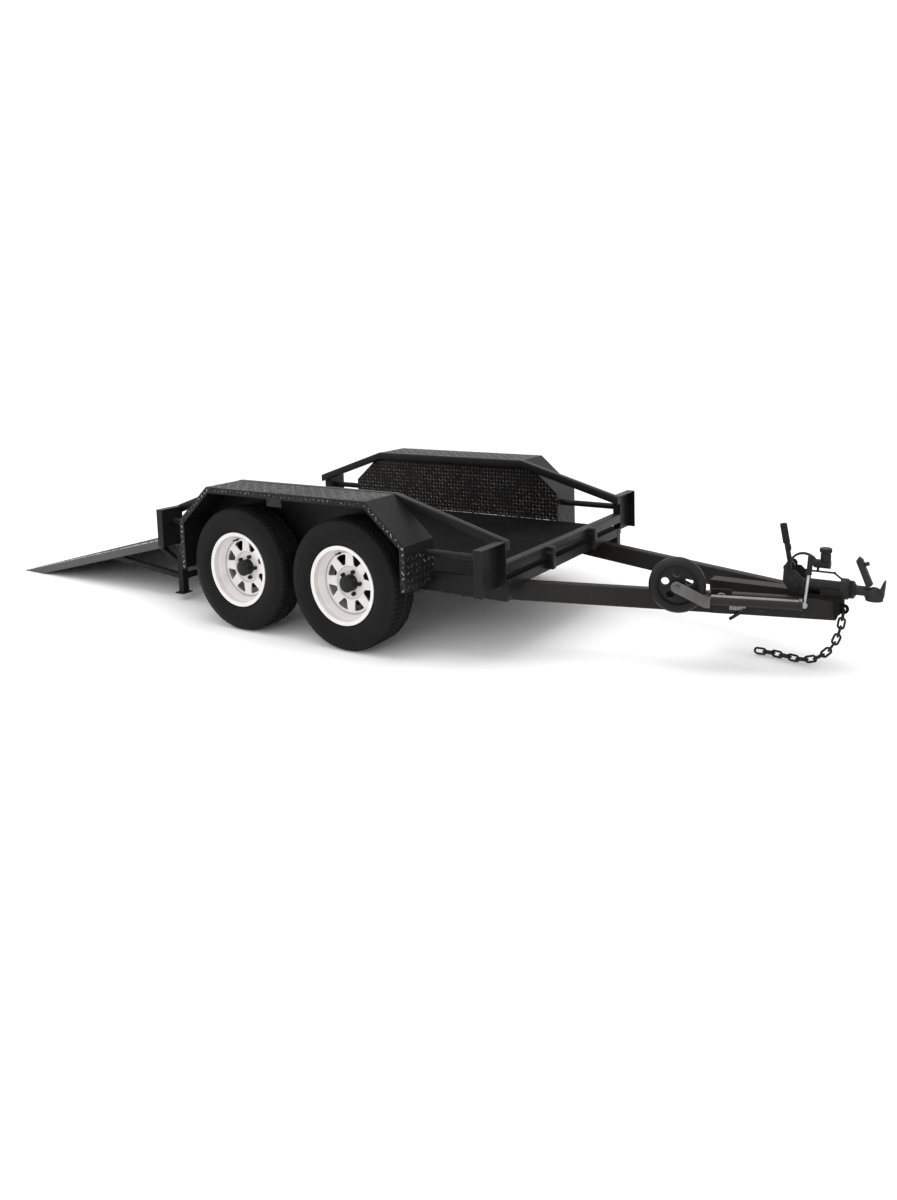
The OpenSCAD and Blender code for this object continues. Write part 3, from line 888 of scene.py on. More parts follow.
    @classmethod
    def dress(
        cls, piece: Piece, finish: Finish, body: str, slot: str, angle: float = 0.0, node: str = ""
    ) -> Piece:
        """Shades a piece, and gives it its finish and the body that it rides on.

        Args:
            piece: the piece.
            finish: its material.
            body: the CAD body.
            slot: the record's material slot; not used.
            angle: edges sharper than this stay sharp, in degrees; at 0 every face stays flat.
            node: the CAD node that it stands for, if any.

        Returns:
            The same piece.
        """
        if angle:
            cls.smooth(piece, angle)
        piece.data.materials.clear()
        piece.data.materials.append(finish)
        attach(piece, body)
        if node:
            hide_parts(node)
        return piece


# Studio


@dataclass
class Studio:
    """Camera, floor and light."""

    place: Triple = (3.27605 + SHIFT, -4.20485, 1.51679)
    azimuth: float = 32.44
    elevation: float = 6.25
    roll: float = -1.59
    focal_px: float = 936.0
    centre_px: Pair = (475.6, 435.69)
    frame_px: Pair = (897.0, 1200.0)
    sensor: float = 36.0
    floor_z: float = -0.0005
    floor_size: float = 120.0

    def camera(self) -> None:
        """Sets the camera that the photograph was taken with."""
        a, e, r = (math.radians(v) for v in (self.azimuth, self.elevation, self.roll))
        back = Vector((math.sin(a) * math.cos(e), -math.cos(a) * math.cos(e), math.sin(e)))
        level = Vector((math.cos(a), math.sin(a), 0.0))
        upright = back.cross(level)
        right = level * math.cos(r) + upright * math.sin(r)
        up = upright * math.cos(r) - level * math.sin(r)
        wide, high = self.frame_px
        data = bpy.data.cameras.new("photo_camera")
        data.sensor_width = self.sensor
        data.lens = self.focal_px / high * self.sensor
        data.shift_x = (wide / 2 - self.centre_px[0]) / high
        data.shift_y = (self.centre_px[1] - high / 2) / high
        data.clip_end = 200.0
        camera = bpy.data.objects.new("photo_camera", data)
        camera.matrix_world = placed(self.place, right, up, back)
        bpy.context.scene.collection.objects.link(camera)
        bpy.context.scene.camera = camera

    def floor(self) -> None:
        """Lays a wide pale floor just under the wheels."""
        Bench.clear()
        bpy.ops.mesh.primitive_plane_add(size=self.floor_size, location=(0.0, 0.0, self.floor_z))
        floor = Bench.settle(Bench.named("studio_floor"))
        floor.data.materials.append(Backdrop("studio_floor").material())

    def lamp(self, name: str, place: Triple, aim: Triple, size: Pair, power: float) -> None:
        """Hangs a soft box.

        Args:
            name: the lamp's name.
            place: where it hangs.
            aim: the point it faces.
            size: its width and height.
            power: watts.
        """
        data = bpy.data.lights.new(name, "AREA")
        data.shape = "RECTANGLE"
        data.size, data.size_y = size
        data.energy = power
        lamp = bpy.data.objects.new(name, data)
        lamp.location = place
        lamp.rotation_euler = (Vector(aim) - Vector(place)).to_track_quat("-Z", "Y").to_euler()
        bpy.context.scene.collection.objects.link(lamp)

    def light(self) -> None:
        """Sets a white surround and three soft boxes."""
        world = bpy.data.worlds.new("studio_white")
        world.use_nodes = True
        surround = world.node_tree.nodes["Background"].inputs
        surround["Color"].default_value = (1.0, 1.0, 1.0, 1.0)
        surround["Strength"].default_value = 1.1
        bpy.context.scene.world = world
        self.lamp("overhead", (0.4, -0.6, 5.5), (0.2, 0.0, 0.3), (5.0, 3.0), 135.0)
        self.lamp("near_side", (2.6, -6.0, 3.2), (0.3, 0.0, 0.4), (3.5, 2.0), 60.0)
        self.lamp("tail_side", (-5.0, -3.0, 3.0), (-0.5, 0.0, 0.3), (3.0, 2.0), 40.0)
        bpy.context.scene.view_settings.view_transform = "Standard"

    def build(self) -> None:
        """Builds the studio."""
        self.camera()
        self.floor()
        self.light()


# What every sub-assembly shares


@dataclass
class Assembly:
    """A sub-assembly with the finishes that dress it."""

    finishes: Finishes

    def build(self) -> list[Piece]:
        """Builds the sub-assembly's pieces."""
        raise NotImplementedError


# Road wheels


@dataclass
class RoadWheel(Assembly):
    """One road wheel's treaded tyre, dust cap and valve."""

    axle: Axle
    side: Side
    across: float = 0.765
    rim: float = 0.196
    seat: float = 0.1814
    half: float = 0.094
    groove: float = 0.0072
    steps: int = 144
    shoulder: Triple = (0.053, 0.075, 0.3155)
    shoulder_cut: Pair = (0.0022, 0.0035)
    rib: Triple = (0.023, 0.0464, 0.3245)
    rib_cut: Pair = (0.0034, 0.0040)
    valve_ring: float = 0.152
    valve_turn: float = -22.5

    @property
    def word(self) -> str:
        """The wheel's name as the nodes use it."""
        return f"{self.axle.word}_{self.side.word}"

    @property
    def body(self) -> str:
        """The body that turns with the wheel."""
        return f"wheel_{self.word}"

    @property
    def centre(self) -> Vector:
        """The middle of the wheel."""
        return Vector((self.axle.value * WHEEL_REACH + SHIFT, self.side.value * self.across, WHEEL_RADIUS))

    def _wall(self, rows: Sequence[Pair]) -> list[Pair]:
        """Points of the wall, from shares of its height and of the tyre's half width."""
        return [(self.rim + a * (WHEEL_RADIUS - self.rim), b * self.half) for a, b in rows]

    def outer(self) -> list[Pair]:
        """Half of the tyre's outside, from the bead to the crown's middle.

        Returns:
            Pairs of radius and place along the axis.
        """
        r, low = WHEEL_RADIUS, WHEEL_RADIUS - self.groove
        bead = [(self.seat, 0.058), (self.seat, 0.075), (self.rim + 0.002, 0.0755)]
        wall = [(0.02, 0.815), (0.05, 0.85), (0.07, 0.885), (0.10, 0.885), (0.12, 0.9), (0.2, 0.945)]
        wall += [(0.3, 0.98), (0.46, 1.0), (0.6, 0.985), (0.635, 0.992), (0.665, 0.974), (0.76, 0.94)]
        wall += [(0.84, 0.9), (0.94, 0.82)]
        crown = [(r - 0.002, 0.72 * self.half), (r - 0.0008, 0.056), (r - 0.0006, 0.0535), (low, 0.0525)]
        crown += [(low, 0.0475), (r - 0.0003, 0.0465), (r, 0.0225), (low, 0.0215), (low, 0.0165)]
        return bead + self._wall(wall) + crown + [(r, 0.0155)]

    def inner(self) -> list[Pair]:
        """Half of the tyre's inside, from the bead to the crown's middle."""
        wall = self._wall([(0.1, 0.68), (0.3, 0.85), (0.5, 0.88), (0.76, 0.78)])
        return wall + [(WHEEL_RADIUS - 0.014, 0.6 * self.half)]

    def tyre(self) -> Piece:
        """Spins the tyre and cuts its tread blocks.

        Returns:
            The tyre.
        """
        outside = self.outer()
        inside = self.inner()
        loop = outside + [(r, -h) for r, h in reversed(outside)]
        loop += [(r, -h) for r, h in inside] + list(reversed(inside)) + outside[:1]
        piece = Bench.turned(f"road_tyre_{self.word}", loop, self.centre, Axis.Y, self.steps)
        Bench.sink(piece, lambda at, way: self._block(at, *self.shoulder), *self.shoulder_cut)
        Bench.sink(piece, lambda at, way: self._block(at, *self.rib), *self.rib_cut)
        return Bench.dress(piece, self.finishes.tyre, self.body, "tyre", 32.0, f"tyre_{self.word}")

    def _block(self, at: Vector, low: float, high: float, least: float) -> bool:
        """Tells whether a face of the tread becomes a notch.

        Args:
            at: the face's middle.
            low: the nearest place to the crown's middle.
            high: the farthest place from it.
            least: the least radius.

        Returns:
            True for every other face of that band.
        """
        from_hub = at - self.centre
        radius = math.hypot(from_hub.x, from_hub.z)
        step = int((math.atan2(from_hub.z, from_hub.x) + math.tau) / math.tau * self.steps + 0.25)
        shift = 1 if from_hub.y > 0 else 0
        return low < abs(from_hub.y) < high and radius > least and (step + shift) % 2 == 0

    def _fitting(self, name: str, rows: Sequence[Pair], foot: Vector, steps: int) -> Piece:
        """Turns a fitting that points out of the wheel from its foot."""
        outline = [(r, h * self.side.value) for r, h in rows]
        return Bench.turned(f"{name}_{self.word}", outline, foot, Axis.Y, steps)

    def cap(self) -> Piece:
        """Turns the domed dust cap.

        Returns:
            The cap.
        """
        rows = [(0.0, 0.0625), (0.013, 0.0620), (0.0245, 0.0592), (0.0325, 0.0540), (0.0352, 0.0490)]
        rows += [(0.0400, 0.0484), (0.0418, 0.0465), (0.0418, 0.0420), (0.0405, 0.0400)]
        piece = self._fitting("dust_cap", rows, self.centre, 40)
        return Bench.dress(piece, self.finishes.cast, self.body, "dark_iron", 30.0)

    def valve(self) -> Piece:
        """Turns the rubber valve.

        Returns:
            The valve.
        """
        rows = [(0.0, 0.048), (0.003, 0.0478), (0.0036, 0.0465), (0.0036, 0.038), (0.0028, 0.037)]
        rows += [(0.0030, 0.030), (0.0046, 0.024), (0.0058, 0.014), (0.0062, 0.004)]
        turn = math.radians(self.valve_turn)
        foot = self.centre + Vector((math.sin(turn), 0.0, math.cos(turn))) * self.valve_ring
        piece = self._fitting("valve", rows, foot, 14)
        return Bench.dress(piece, self.finishes.grip, self.body, "black_plastic", 40.0)

    def build(self) -> list[Piece]:
        """Builds the wheel's pieces."""
        return [self.tyre(), self.cap(), self.valve()]


# Checker plate


@dataclass
class CheckerField:
    """Raised bars over one flat field of checker plate."""

    name: str
    corner: Vector
    along: Vector
    up: Vector
    size: Pair
    pitch: float = 0.033
    bar: Triple = (0.0285, 0.0072, 0.0015)
    cuts: Sequence[tuple[Vector, Vector]] = ()
    crown: Triple = (0.86, 0.46, 1.0)

    def _bar(self) -> Piece:
        """Models one bar with a narrowed crown.

        Returns:
            The bar.
        """
        piece = Bench.drum(self.name, 8, 0.5, 0.0, 1.0)
        Bench.choose(piece, lambda at, way: way.z > 0.9)
        bpy.ops.transform.resize(value=self.crown)
        Bench.choose(piece, lambda at, way: way.z < -0.9)
        bpy.ops.mesh.delete(type="FACE")
        bpy.ops.object.mode_set(mode="OBJECT")
        piece.scale = self.bar
        piece.rotation_euler = (0.0, 0.0, math.radians(45.0))
        piece.location = (self.pitch / 2, self.pitch / 2, 0.0)
        return Bench.settle(piece)

    def _tile(self) -> Piece:
        """Sets four bars to a tile, each across its neighbours.

        Returns:
            The tile.
        """
        first = self._bar()
        flip = Matrix.Diagonal((-1.0, 1.0, 1.0, 1.0))
        second = Bench.copy(first, "bar_b", Matrix.Translation((2 * self.pitch, 0.0, 0.0)) @ flip)
        third = Bench.copy(second, "bar_c", Matrix.Translation((-self.pitch, self.pitch, 0.0)))
        fourth = Bench.copy(first, "bar_d", Matrix.Translation((self.pitch, self.pitch, 0.0)))
        return Bench.join(self.name, [first, second, third, fourth])

    def build(self) -> Piece:
        """Repeats the tile over the field and trims it.

        Returns:
            The field's bars.
        """
        piece = self._tile()
        step = 2 * self.pitch
        for reach, offset in zip(self.size, ((step, 0.0, 0.0), (0.0, step, 0.0))):
            Bench.repeat(piece, max(1, math.ceil(reach / step)), offset)
        u, v, low = self.along, self.up, self.corner
        Bench.move(piece, placed(low, u, v, u.cross(v)))
        high = low + u * self.size[0] + v * self.size[1]
        for point, normal in ((low, -u), (low, -v), (high, u), (high, v), *self.cuts):
            Bench.trim(piece, point, normal)
        return piece


@dataclass
class Mudguard(Assembly):
    """Checker plate of one mudguard and its side panel, and the bead at the panel's foot."""

    side: Side
    half: float = 0.755
    top: float = 0.753
    bend: float = 0.560
    front_low: float = 0.345
    rear_low: float = 0.290
    inner: float = 0.643
    outer: float = 0.867
    margin: float = 0.004
    plate_top: float = 0.516
    lip: float = 0.032
    lip_top: float = 0.003
    lip_gap: float = 0.005
    lip_pitch: float = 0.0275
    lip_bar: Triple = (0.023, 0.0062, 0.0013)
    panel_low: float = 0.404
    panel_high: float = 0.303
    panel_end: float = 0.012
    panel_pitch: float = 0.0225
    panel_bar: Triple = (0.0172, 0.0052, 0.0014)
    seam_z: float = 0.4015
    seam_in: float = 0.0022
    seam_radius: float = 0.0032

    @property
    def forward(self) -> Vector:
        """Runs along the trailer so that a field with it faces into the deck or up."""
        return Vector((self.side.value, 0.0, 0.0))

    @property
    def depth(self) -> float:
        """The width of the fields across the guard."""
        return self.outer - self.inner - 2 * self.margin

    def _at(self, x: float, z: float, y: float) -> Vector:
        """A point of this side."""
        return Vector((x + SHIFT, self.side.value * y, z))

    def panel(self) -> CheckerField:
        """The field on the deck's side of the panel.

        Returns:
            The field.
        """
        slope = Vector((self.top - self.bend, 0.0, self.half - GUARD_FLAT)).normalized()
        end = self.half - self.panel_end
        cuts = []
        for e in (-1, 1):
            cuts.append((self._at(e * end, self.bend, HALF_DECK), Vector((e * slope.x, 0.0, slope.z))))
        start = self._at(-self.side.value * (self.half - self.panel_end / 2), self.panel_low, HALF_DECK)
        size = (2 * self.half - self.panel_end, self.panel_high)
        up = Vector(Axis.Z.value)
        name = f"panel_checker_{self.side.word}"
        return CheckerField(name, start, self.forward, up, size, self.panel_pitch, self.panel_bar, cuts)

    def crown(self) -> CheckerField:
        """The field on the guard's top.

        Returns:
            The field.
        """
        start = self._at(-self.side.value * GUARD_FLAT, self.top, self.inner + self.margin)
        size = (2 * GUARD_FLAT, self.depth)
        return CheckerField(f"crown_checker_{self.side.word}", start, self.forward, self.side.way, size)

    def lips(self) -> list[CheckerField]:
        """The fields along the outer lip.

        Returns:
            The fields, from the rear end to the front one.
        """
        rows = [(-self.half, self.rear_low), (-self.half, self.bend), (-GUARD_FLAT, self.top)]
        rows += [(GUARD_FLAT, self.top), (self.half, self.bend), (self.half, self.front_low)]
        fields = []
        for number, (a, b) in enumerate(zip(rows, rows[1:])):
            run = Vector((b[0] - a[0], 0.0, b[1] - a[1]))
            along = run.normalized()
            down = Vector((along.z, 0.0, -along.x))
            first = self._at(a[0], a[1], self.outer) + down * (self.lip - self.lip_top)
            if along.cross(-down).y * self.side.value < 0:
                first = first + run
                along = -along
            name = f"lip_checker_{self.side.word}_{number}"
            size = (run.length, self.lip - self.lip_gap)
            fields.append(CheckerField(name, first, along, -down, size, self.lip_pitch, self.lip_bar))
        return fields

    def ends(self) -> list[CheckerField]:
        """The fields on the upright front and rear ends.

        Returns:
            The fields.
        """
        fields = []
        for axle, low in ((Axle.FRONT, self.front_low), (Axle.REAR, self.rear_low)):
            e = axle.value
            across = Vector((0.0, e, 0.0))
            from_y = self.inner + self.margin if self.side.value * e > 0 else self.outer - self.margin
            start = self._at(e * self.half, low + self.margin, from_y)
            name = f"end_checker_{self.side.word}_{axle.word}"
            size = (self.depth, self.plate_top - low)
            fields.append(CheckerField(name, start, across, Vector(Axis.Z.value), size))
        return fields

    def seam(self) -> Piece:
        """The bead where the panel meets the deck's floor, with bright steel specks that stand for wear and
        for painted highlights.

        Returns:
            The bead.
        """
        end = self.half - self.panel_end
        start, stop = (self._at(x, self.seam_z, HALF_DECK - self.seam_in) for x in (-end, end))
        piece = Bench.rod(f"panel_seam_{self.side.word}", start, stop, self.seam_radius, 10)
        Bench.trim(piece, self.side.way * HALF_DECK, self.side.way)
        Bench.bevel(piece, 0.0008, 1)
        return Bench.dress(piece, self.finishes.lip_bars, "chassis", "black_paint", 40.0)

    def build(self) -> list[Piece]:
        """Builds the guard's checker bars and the bead.

        Returns:
            The pieces.
        """
        flat, *rest = sorted(self.lips(), key=lambda f: -f.size[0])
        groups = [
            ("guard_checker", [self.crown(), *self.ends(), flat], self.finishes.bars),
            ("panel_checker", [self.panel()], self.finishes.panel_bars),
            ("lip_checker", rest, self.finishes.lip_bars),
        ]
        pieces = []
        for name, fields, finish in groups:
            piece = Bench.join(f"{name}_{self.side.word}", [f.build() for f in fields])
            pieces.append(Bench.dress(piece, finish, "chassis", "black_paint"))
        return [*pieces, self.seam()]


@dataclass
class Ramp(Assembly):
    """The ramp's checker bars, and strips of painted highlight along its side rails' upper edges, laid as
    worn bare steel.
    """

    hinge: Pair = (-1.077 + SHIFT, 0.376)
    turn: float = 13.72637
    surface: float = 0.015
    half: float = 0.548
    start: float = 0.040
    length: float = 1.570
    pitch: float = 0.038
    bar: Triple = (0.033, 0.0082, 0.0016)
    rail: float = 0.600
    rim_long: float = 1.612
    rim_in: float = 0.007
    rim_out: float = 0.0008
    rim_low: float = 0.005
    rim_high: float = 0.0012

    @property
    def down(self) -> Vector:
        """Points down the ramp."""
        t = math.radians(self.turn)
        return Vector((-math.cos(t), 0.0, -math.sin(t)))

    @property
    def normal(self) -> Vector:
        """Points out of the ramp's upper surface."""
        t = math.radians(self.turn)
        return Vector((-math.sin(t), 0.0, math.cos(t)))

    def bars(self) -> Piece:
        """Models the checker bars.

        Returns:
            The bars.
        """
        corner = Vector((self.hinge[0], -self.half, self.hinge[1]))
        corner = corner + self.normal * self.surface + self.down * self.start
        size = (2 * self.half, self.length)
        across = Vector(Axis.Y.value)
        piece = CheckerField("ramp_checker", corner, across, self.down, size, self.pitch, self.bar).build()
        return Bench.dress(piece, self.finishes.bars, "ramp", "black_paint")

    def rims(self) -> Piece:
        """Models strips of painted highlight along the side rails' upper edges, laid as worn bare steel.

        Returns:
            The rims.
        """
        low, high = self.surface - self.rim_low, self.surface + self.rim_high
        # painted highlight: bright strips along the rails' top edges
        rims = []
        for side in Side:
            near, far = side.span(self.rail - self.rim_in, self.rail + self.rim_out)
            rims.append(Bench.box("ramp_rim", (0.0, near, low), (self.rim_long, far, high)))
        piece = Bench.join("ramp_rims", rims)
        Bench.bevel(piece, 0.0018)
        place = (self.hinge[0], 0.0, self.hinge[1])
        Bench.move(piece, placed(place, self.down, Side.RIGHT.way, self.normal))
        return Bench.dress(piece, self.finishes.ramp_edge, "ramp", "black_paint", 40.0)

    def build(self) -> list[Piece]:
        """Builds the ramp's pieces."""
        return [self.bars(), self.rims()]


# Steel frame


@dataclass
class FrameRails(Assembly):
    """Square tube with rounded corners: top rails, side rails and headboard."""

    corner: float = 0.0055
    top_inner: float = 0.600
    top_depth: float = 0.046
    top_rear: float = 0.578
    top_crest: float = 0.755
    top_front: float = 0.577
    tube: float = 0.05
    rail_depth: float = 0.100
    rail_top: float = 0.397
    head_top: float = 0.475
    head_gap: float = 0.474
    upright: float = 0.036
    upright_low: float = 0.362

    def _rounded(self, piece: Piece, node: str) -> Piece:
        """Rounds a tube's corners and dresses it in place of its CAD node."""
        Bench.bevel(piece, self.corner, 3, 40.0)
        return Bench.dress(piece, self.finishes.black, "chassis", "black_paint", 30.0, node)

    def top_rail(self, side: Side) -> Piece:
        """Draws a square section along the bends of a panel's top rail.

        Args:
            side: the trailer's side.

        Returns:
            The rail.
        """
        path = [(DECK_REAR, self.top_rear), (-GUARD_FLAT + SHIFT, self.top_crest)]
        path += [(GUARD_FLAT + SHIFT, self.top_crest), (DECK_FRONT, self.top_front)]
        low, high = side.span(self.top_inner, HALF_DECK)
        middle = (path[0][0], (low + high) / 2, path[0][1] - self.top_depth / 2)
        Bench.clear()
        bpy.ops.mesh.primitive_plane_add(size=1.0, location=middle, rotation=(0.0, math.pi / 2, 0.0))
        piece = Bench.named(f"bent_rail_{side.word}")
        piece.scale = (self.top_depth, high - low, 1.0)
        Bench.edit(Bench.settle(piece), "FACE")
        for a, b in zip(path, path[1:]):
            step = (b[0] - a[0], 0.0, b[1] - a[1])
            bpy.ops.mesh.extrude_region_move(TRANSFORM_OT_translate={"value": step})
        return self._rounded(Bench.face_out(piece), f"top_rail_{side.word}")

    def side_rails(self) -> Piece:
        """Models the deck's two side rails.

        Returns:
            The rails.
        """
        low, high = self.rail_top - self.rail_depth, self.rail_top
        rails = [
            Bench.box("deck_rail", (DECK_REAR, y, low), (DECK_FRONT, y + self.tube, high))
            for y in (-HALF_DECK, HALF_DECK - self.tube)
        ]
        return self._rounded(Bench.join("deck_rails", rails), "side_rails")

    def headboard(self) -> Piece:
        """Models the headboard's rail and two uprights.

        Returns:
            The headboard.
        """
        top, half = self.head_top, self.upright / 2
        low = (DECK_FRONT - self.tube, -HALF_DECK, top - self.tube)
        rail = Bench.box("head_rail", low, (DECK_FRONT, HALF_DECK, top))
        uprights = []
        for y in (-self.head_gap / 2, self.head_gap / 2):
            foot = (DECK_FRONT, y - half, self.upright_low)
            uprights.append(Bench.box("head_upright", foot, (DECK_FRONT + self.upright, y + half, top)))
        return self._rounded(Bench.join("head_frame", [rail, *uprights]), "headboard")

    def build(self) -> list[Piece]:
        """Builds the rails."""
        return [*(self.top_rail(side) for side in Side), self.side_rails(), self.headboard()]


@dataclass
class Drawbar(Assembly):
    """The A-frame's two beams with rounded corners."""

    deck: Triple = (DECK_FRONT, -0.445, 0.3054)
    nose: float = 2.460 + SHIFT
    turn: float = 17.201403
    pitch: float = 0.92262222
    half_w: float = 0.025
    half_h: float = 0.046
    under: float = 0.320
    reach: float = 1.5
    corner: float = 0.006

    def frame(self) -> Matrix:
        """The near beam's frame: +X to the nose, +Z up.

        Returns:
            The frame's matrix.
        """
        turn = Matrix.Rotation(math.radians(self.turn), 4, "Z")
        pitch = Matrix.Rotation(math.radians(self.pitch), 4, "Y")
        return Matrix.Translation(self.deck) @ turn @ pitch

    def beam(self, side: Side) -> Piece:
        """Models one beam, cut off at the nose.

        Args:
            side: the trailer's side.

        Returns:
            The beam.
        """
        low = (-self.under, -self.half_w, -self.half_h)
        piece = Bench.box(f"a_frame_{side.word}", low, (self.reach, self.half_w, self.half_h))
        Bench.bevel(piece, self.corner, 3, 40.0)
        Bench.move(piece, Matrix.Diagonal((1.0, -side.value, 1.0, 1.0)) @ self.frame())
        Bench.trim(piece, (self.nose, 0.0, 0.0), Axis.X.value)
        Bench.face_out(piece)
        finish = self.finishes.drawbar
        return Bench.dress(piece, finish, "chassis", "drawbar_paint", 30.0, f"drawbar_{side.word}")

    def build(self) -> list[Piece]:
        """Builds the beams."""
        return [self.beam(side) for side in Side]


# Coupling


@dataclass
class Coupling(Assembly):
    """Draw shaft with bellows, lever grip, release knob and reservoir at the nose."""

    axis_z: float = 0.36671
    body_end: float = 2.500 + SHIFT
    lever: Pair = (2.254 + SHIFT, 0.44671)
    lean: float = 10.0
    lever_top: float = 0.634
    folds: int = 3
    fold_step: float = 0.0062
    ribs: int = 11
    rib_step: float = 0.0068
    knob_down: float = 0.106
    knob_out: float = 0.008
    pot: Triple = (2.416 + SHIFT, -0.054, 0.48071)
    pot_steps: int = 48
    cap_low: float = 0.056
    flute: Pair = (0.0007, 0.0011)

    @property
    def lever_long(self) -> float:
        """The hand brake lever's length."""
        return (self.lever_top - self.lever[1]) / math.cos(math.radians(self.lean))

    def lever_frame(self) -> Matrix:
        """The lever's frame, with +Z along the lever."""
        lean = Matrix.Rotation(math.radians(-self.lean), 4, "Y")
        return Matrix.Translation((self.lever[0], 0.0, self.lever[1])) @ lean

    def shaft(self) -> Piece:
        """Turns the draw shaft with its rubber bellows.

        Returns:
            The shaft.
        """
        rows: list[Pair] = [(0.0, 0.0), (0.040, 0.0), (0.040, 0.003)]
        for fold in range(self.folds):
            at = 0.005 + fold * self.fold_step
            rows += [(0.0395, at), (0.0405, at + 0.0012), (0.0390, at + 0.0026), (0.0335, at + 0.0044)]
        rows += [(0.0375, 0.0235), (0.0375, 0.0250), (0.0265, 0.0262), (0.0265, 0.0310), (0.0215, 0.0330)]
        rows += [(0.0215, 0.0660), (0.0235, 0.0690), (0.0, 0.0690)]
        piece = Bench.turned("draw_bellows", rows, (self.body_end, 0.0, self.axis_z), Axis.X, 40)
        return Bench.dress(piece, self.finishes.head, "chassis", "dark_iron", 30.0, "draw_shaft")

    def grip(self) -> Piece:
        """Turns the hand brake lever's ribbed grip.

        Returns:
            The grip.
        """
        end = self.lever_long
        rows: list[Pair] = [(0.0095, end - 0.089), (0.0150, end - 0.0885), (0.0158, end - 0.086)]
        for rib in range(self.ribs):
            at = end - 0.083 + rib * self.rib_step
            rows += [(0.0158, at), (0.0158, at + 0.0038), (0.0151, at + 0.0046), (0.0151, at + 0.0060)]
        rows += [(0.0156, end - 0.006), (0.0146, end - 0.001), (0.0100, end + 0.0012), (0.0, end + 0.0016)]
        piece = Bench.move(Bench.turned("lever_grip", rows, ORIGIN, Axis.Z, 28), self.lever_frame())
        return Bench.dress(piece, self.finishes.grip, "chassis", "black_plastic", 30.0)

    def knob(self) -> Piece:
        """Turns the release knob below the lever's grip.

        Returns:
            The knob.
        """
        at = self.lever_long - self.knob_down
        rows = [(0.0, at - 0.019), (0.0058, at - 0.018), (0.0085, at - 0.010), (0.0092, at)]
        rows += [(0.0082, at + 0.009), (0.0060, at + 0.0155), (0.0, at + 0.017)]
        piece = Bench.turned("latch_knob", rows, (self.knob_out, 0.0, 0.0), Axis.Z, 24)
        Bench.move(piece, self.lever_frame())
        return Bench.dress(piece, self.finishes.cast, "chassis", "dark_iron", 40.0)

    def reservoir(self) -> Piece:
        """Turns the fluid pot and flutes its cap.

        Returns:
            The pot.
        """
        rows = [(0.0150, 0.0125), (0.0215, 0.0135), (0.0220, 0.0155), (0.0220, 0.0450), (0.0205, 0.0478)]
        rows += [(0.0190, 0.0485), (0.0190, 0.0525), (0.0250, 0.0530), (0.0258, 0.0542), (0.0258, 0.0690)]
        rows += [(0.0240, 0.0708), (0.0120, 0.0712), (0.0108, 0.0700), (0.0, 0.0700)]
        piece = Bench.turned("fluid_pot", rows, self.pot, Axis.Z, self.pot_steps)
        Bench.sink(piece, self._flute, *self.flute)
        return Bench.dress(piece, self.finishes.plastic, "chassis", "black_plastic", 30.0, "fluid_reservoir")

    def _flute(self, at: Vector, way: Vector) -> bool:
        """Tells whether a face of the cap's rim becomes a flute.

        Args:
            at: the face's middle.
            way: its normal.

        Returns:
            True for every other face of the rim.
        """
        turn = math.atan2(at.y - self.pot[1], at.x - self.pot[0]) + math.tau
        step = int(turn / math.tau * self.pot_steps + 0.25)
        return abs(way.z) < 0.2 and at.z > self.pot[2] + self.cap_low and step % 2 == 0

    def build(self) -> list[Piece]:
        """Builds the coupling's pieces."""
        return [self.shaft(), self.grip(), self.knob(), self.reservoir()]


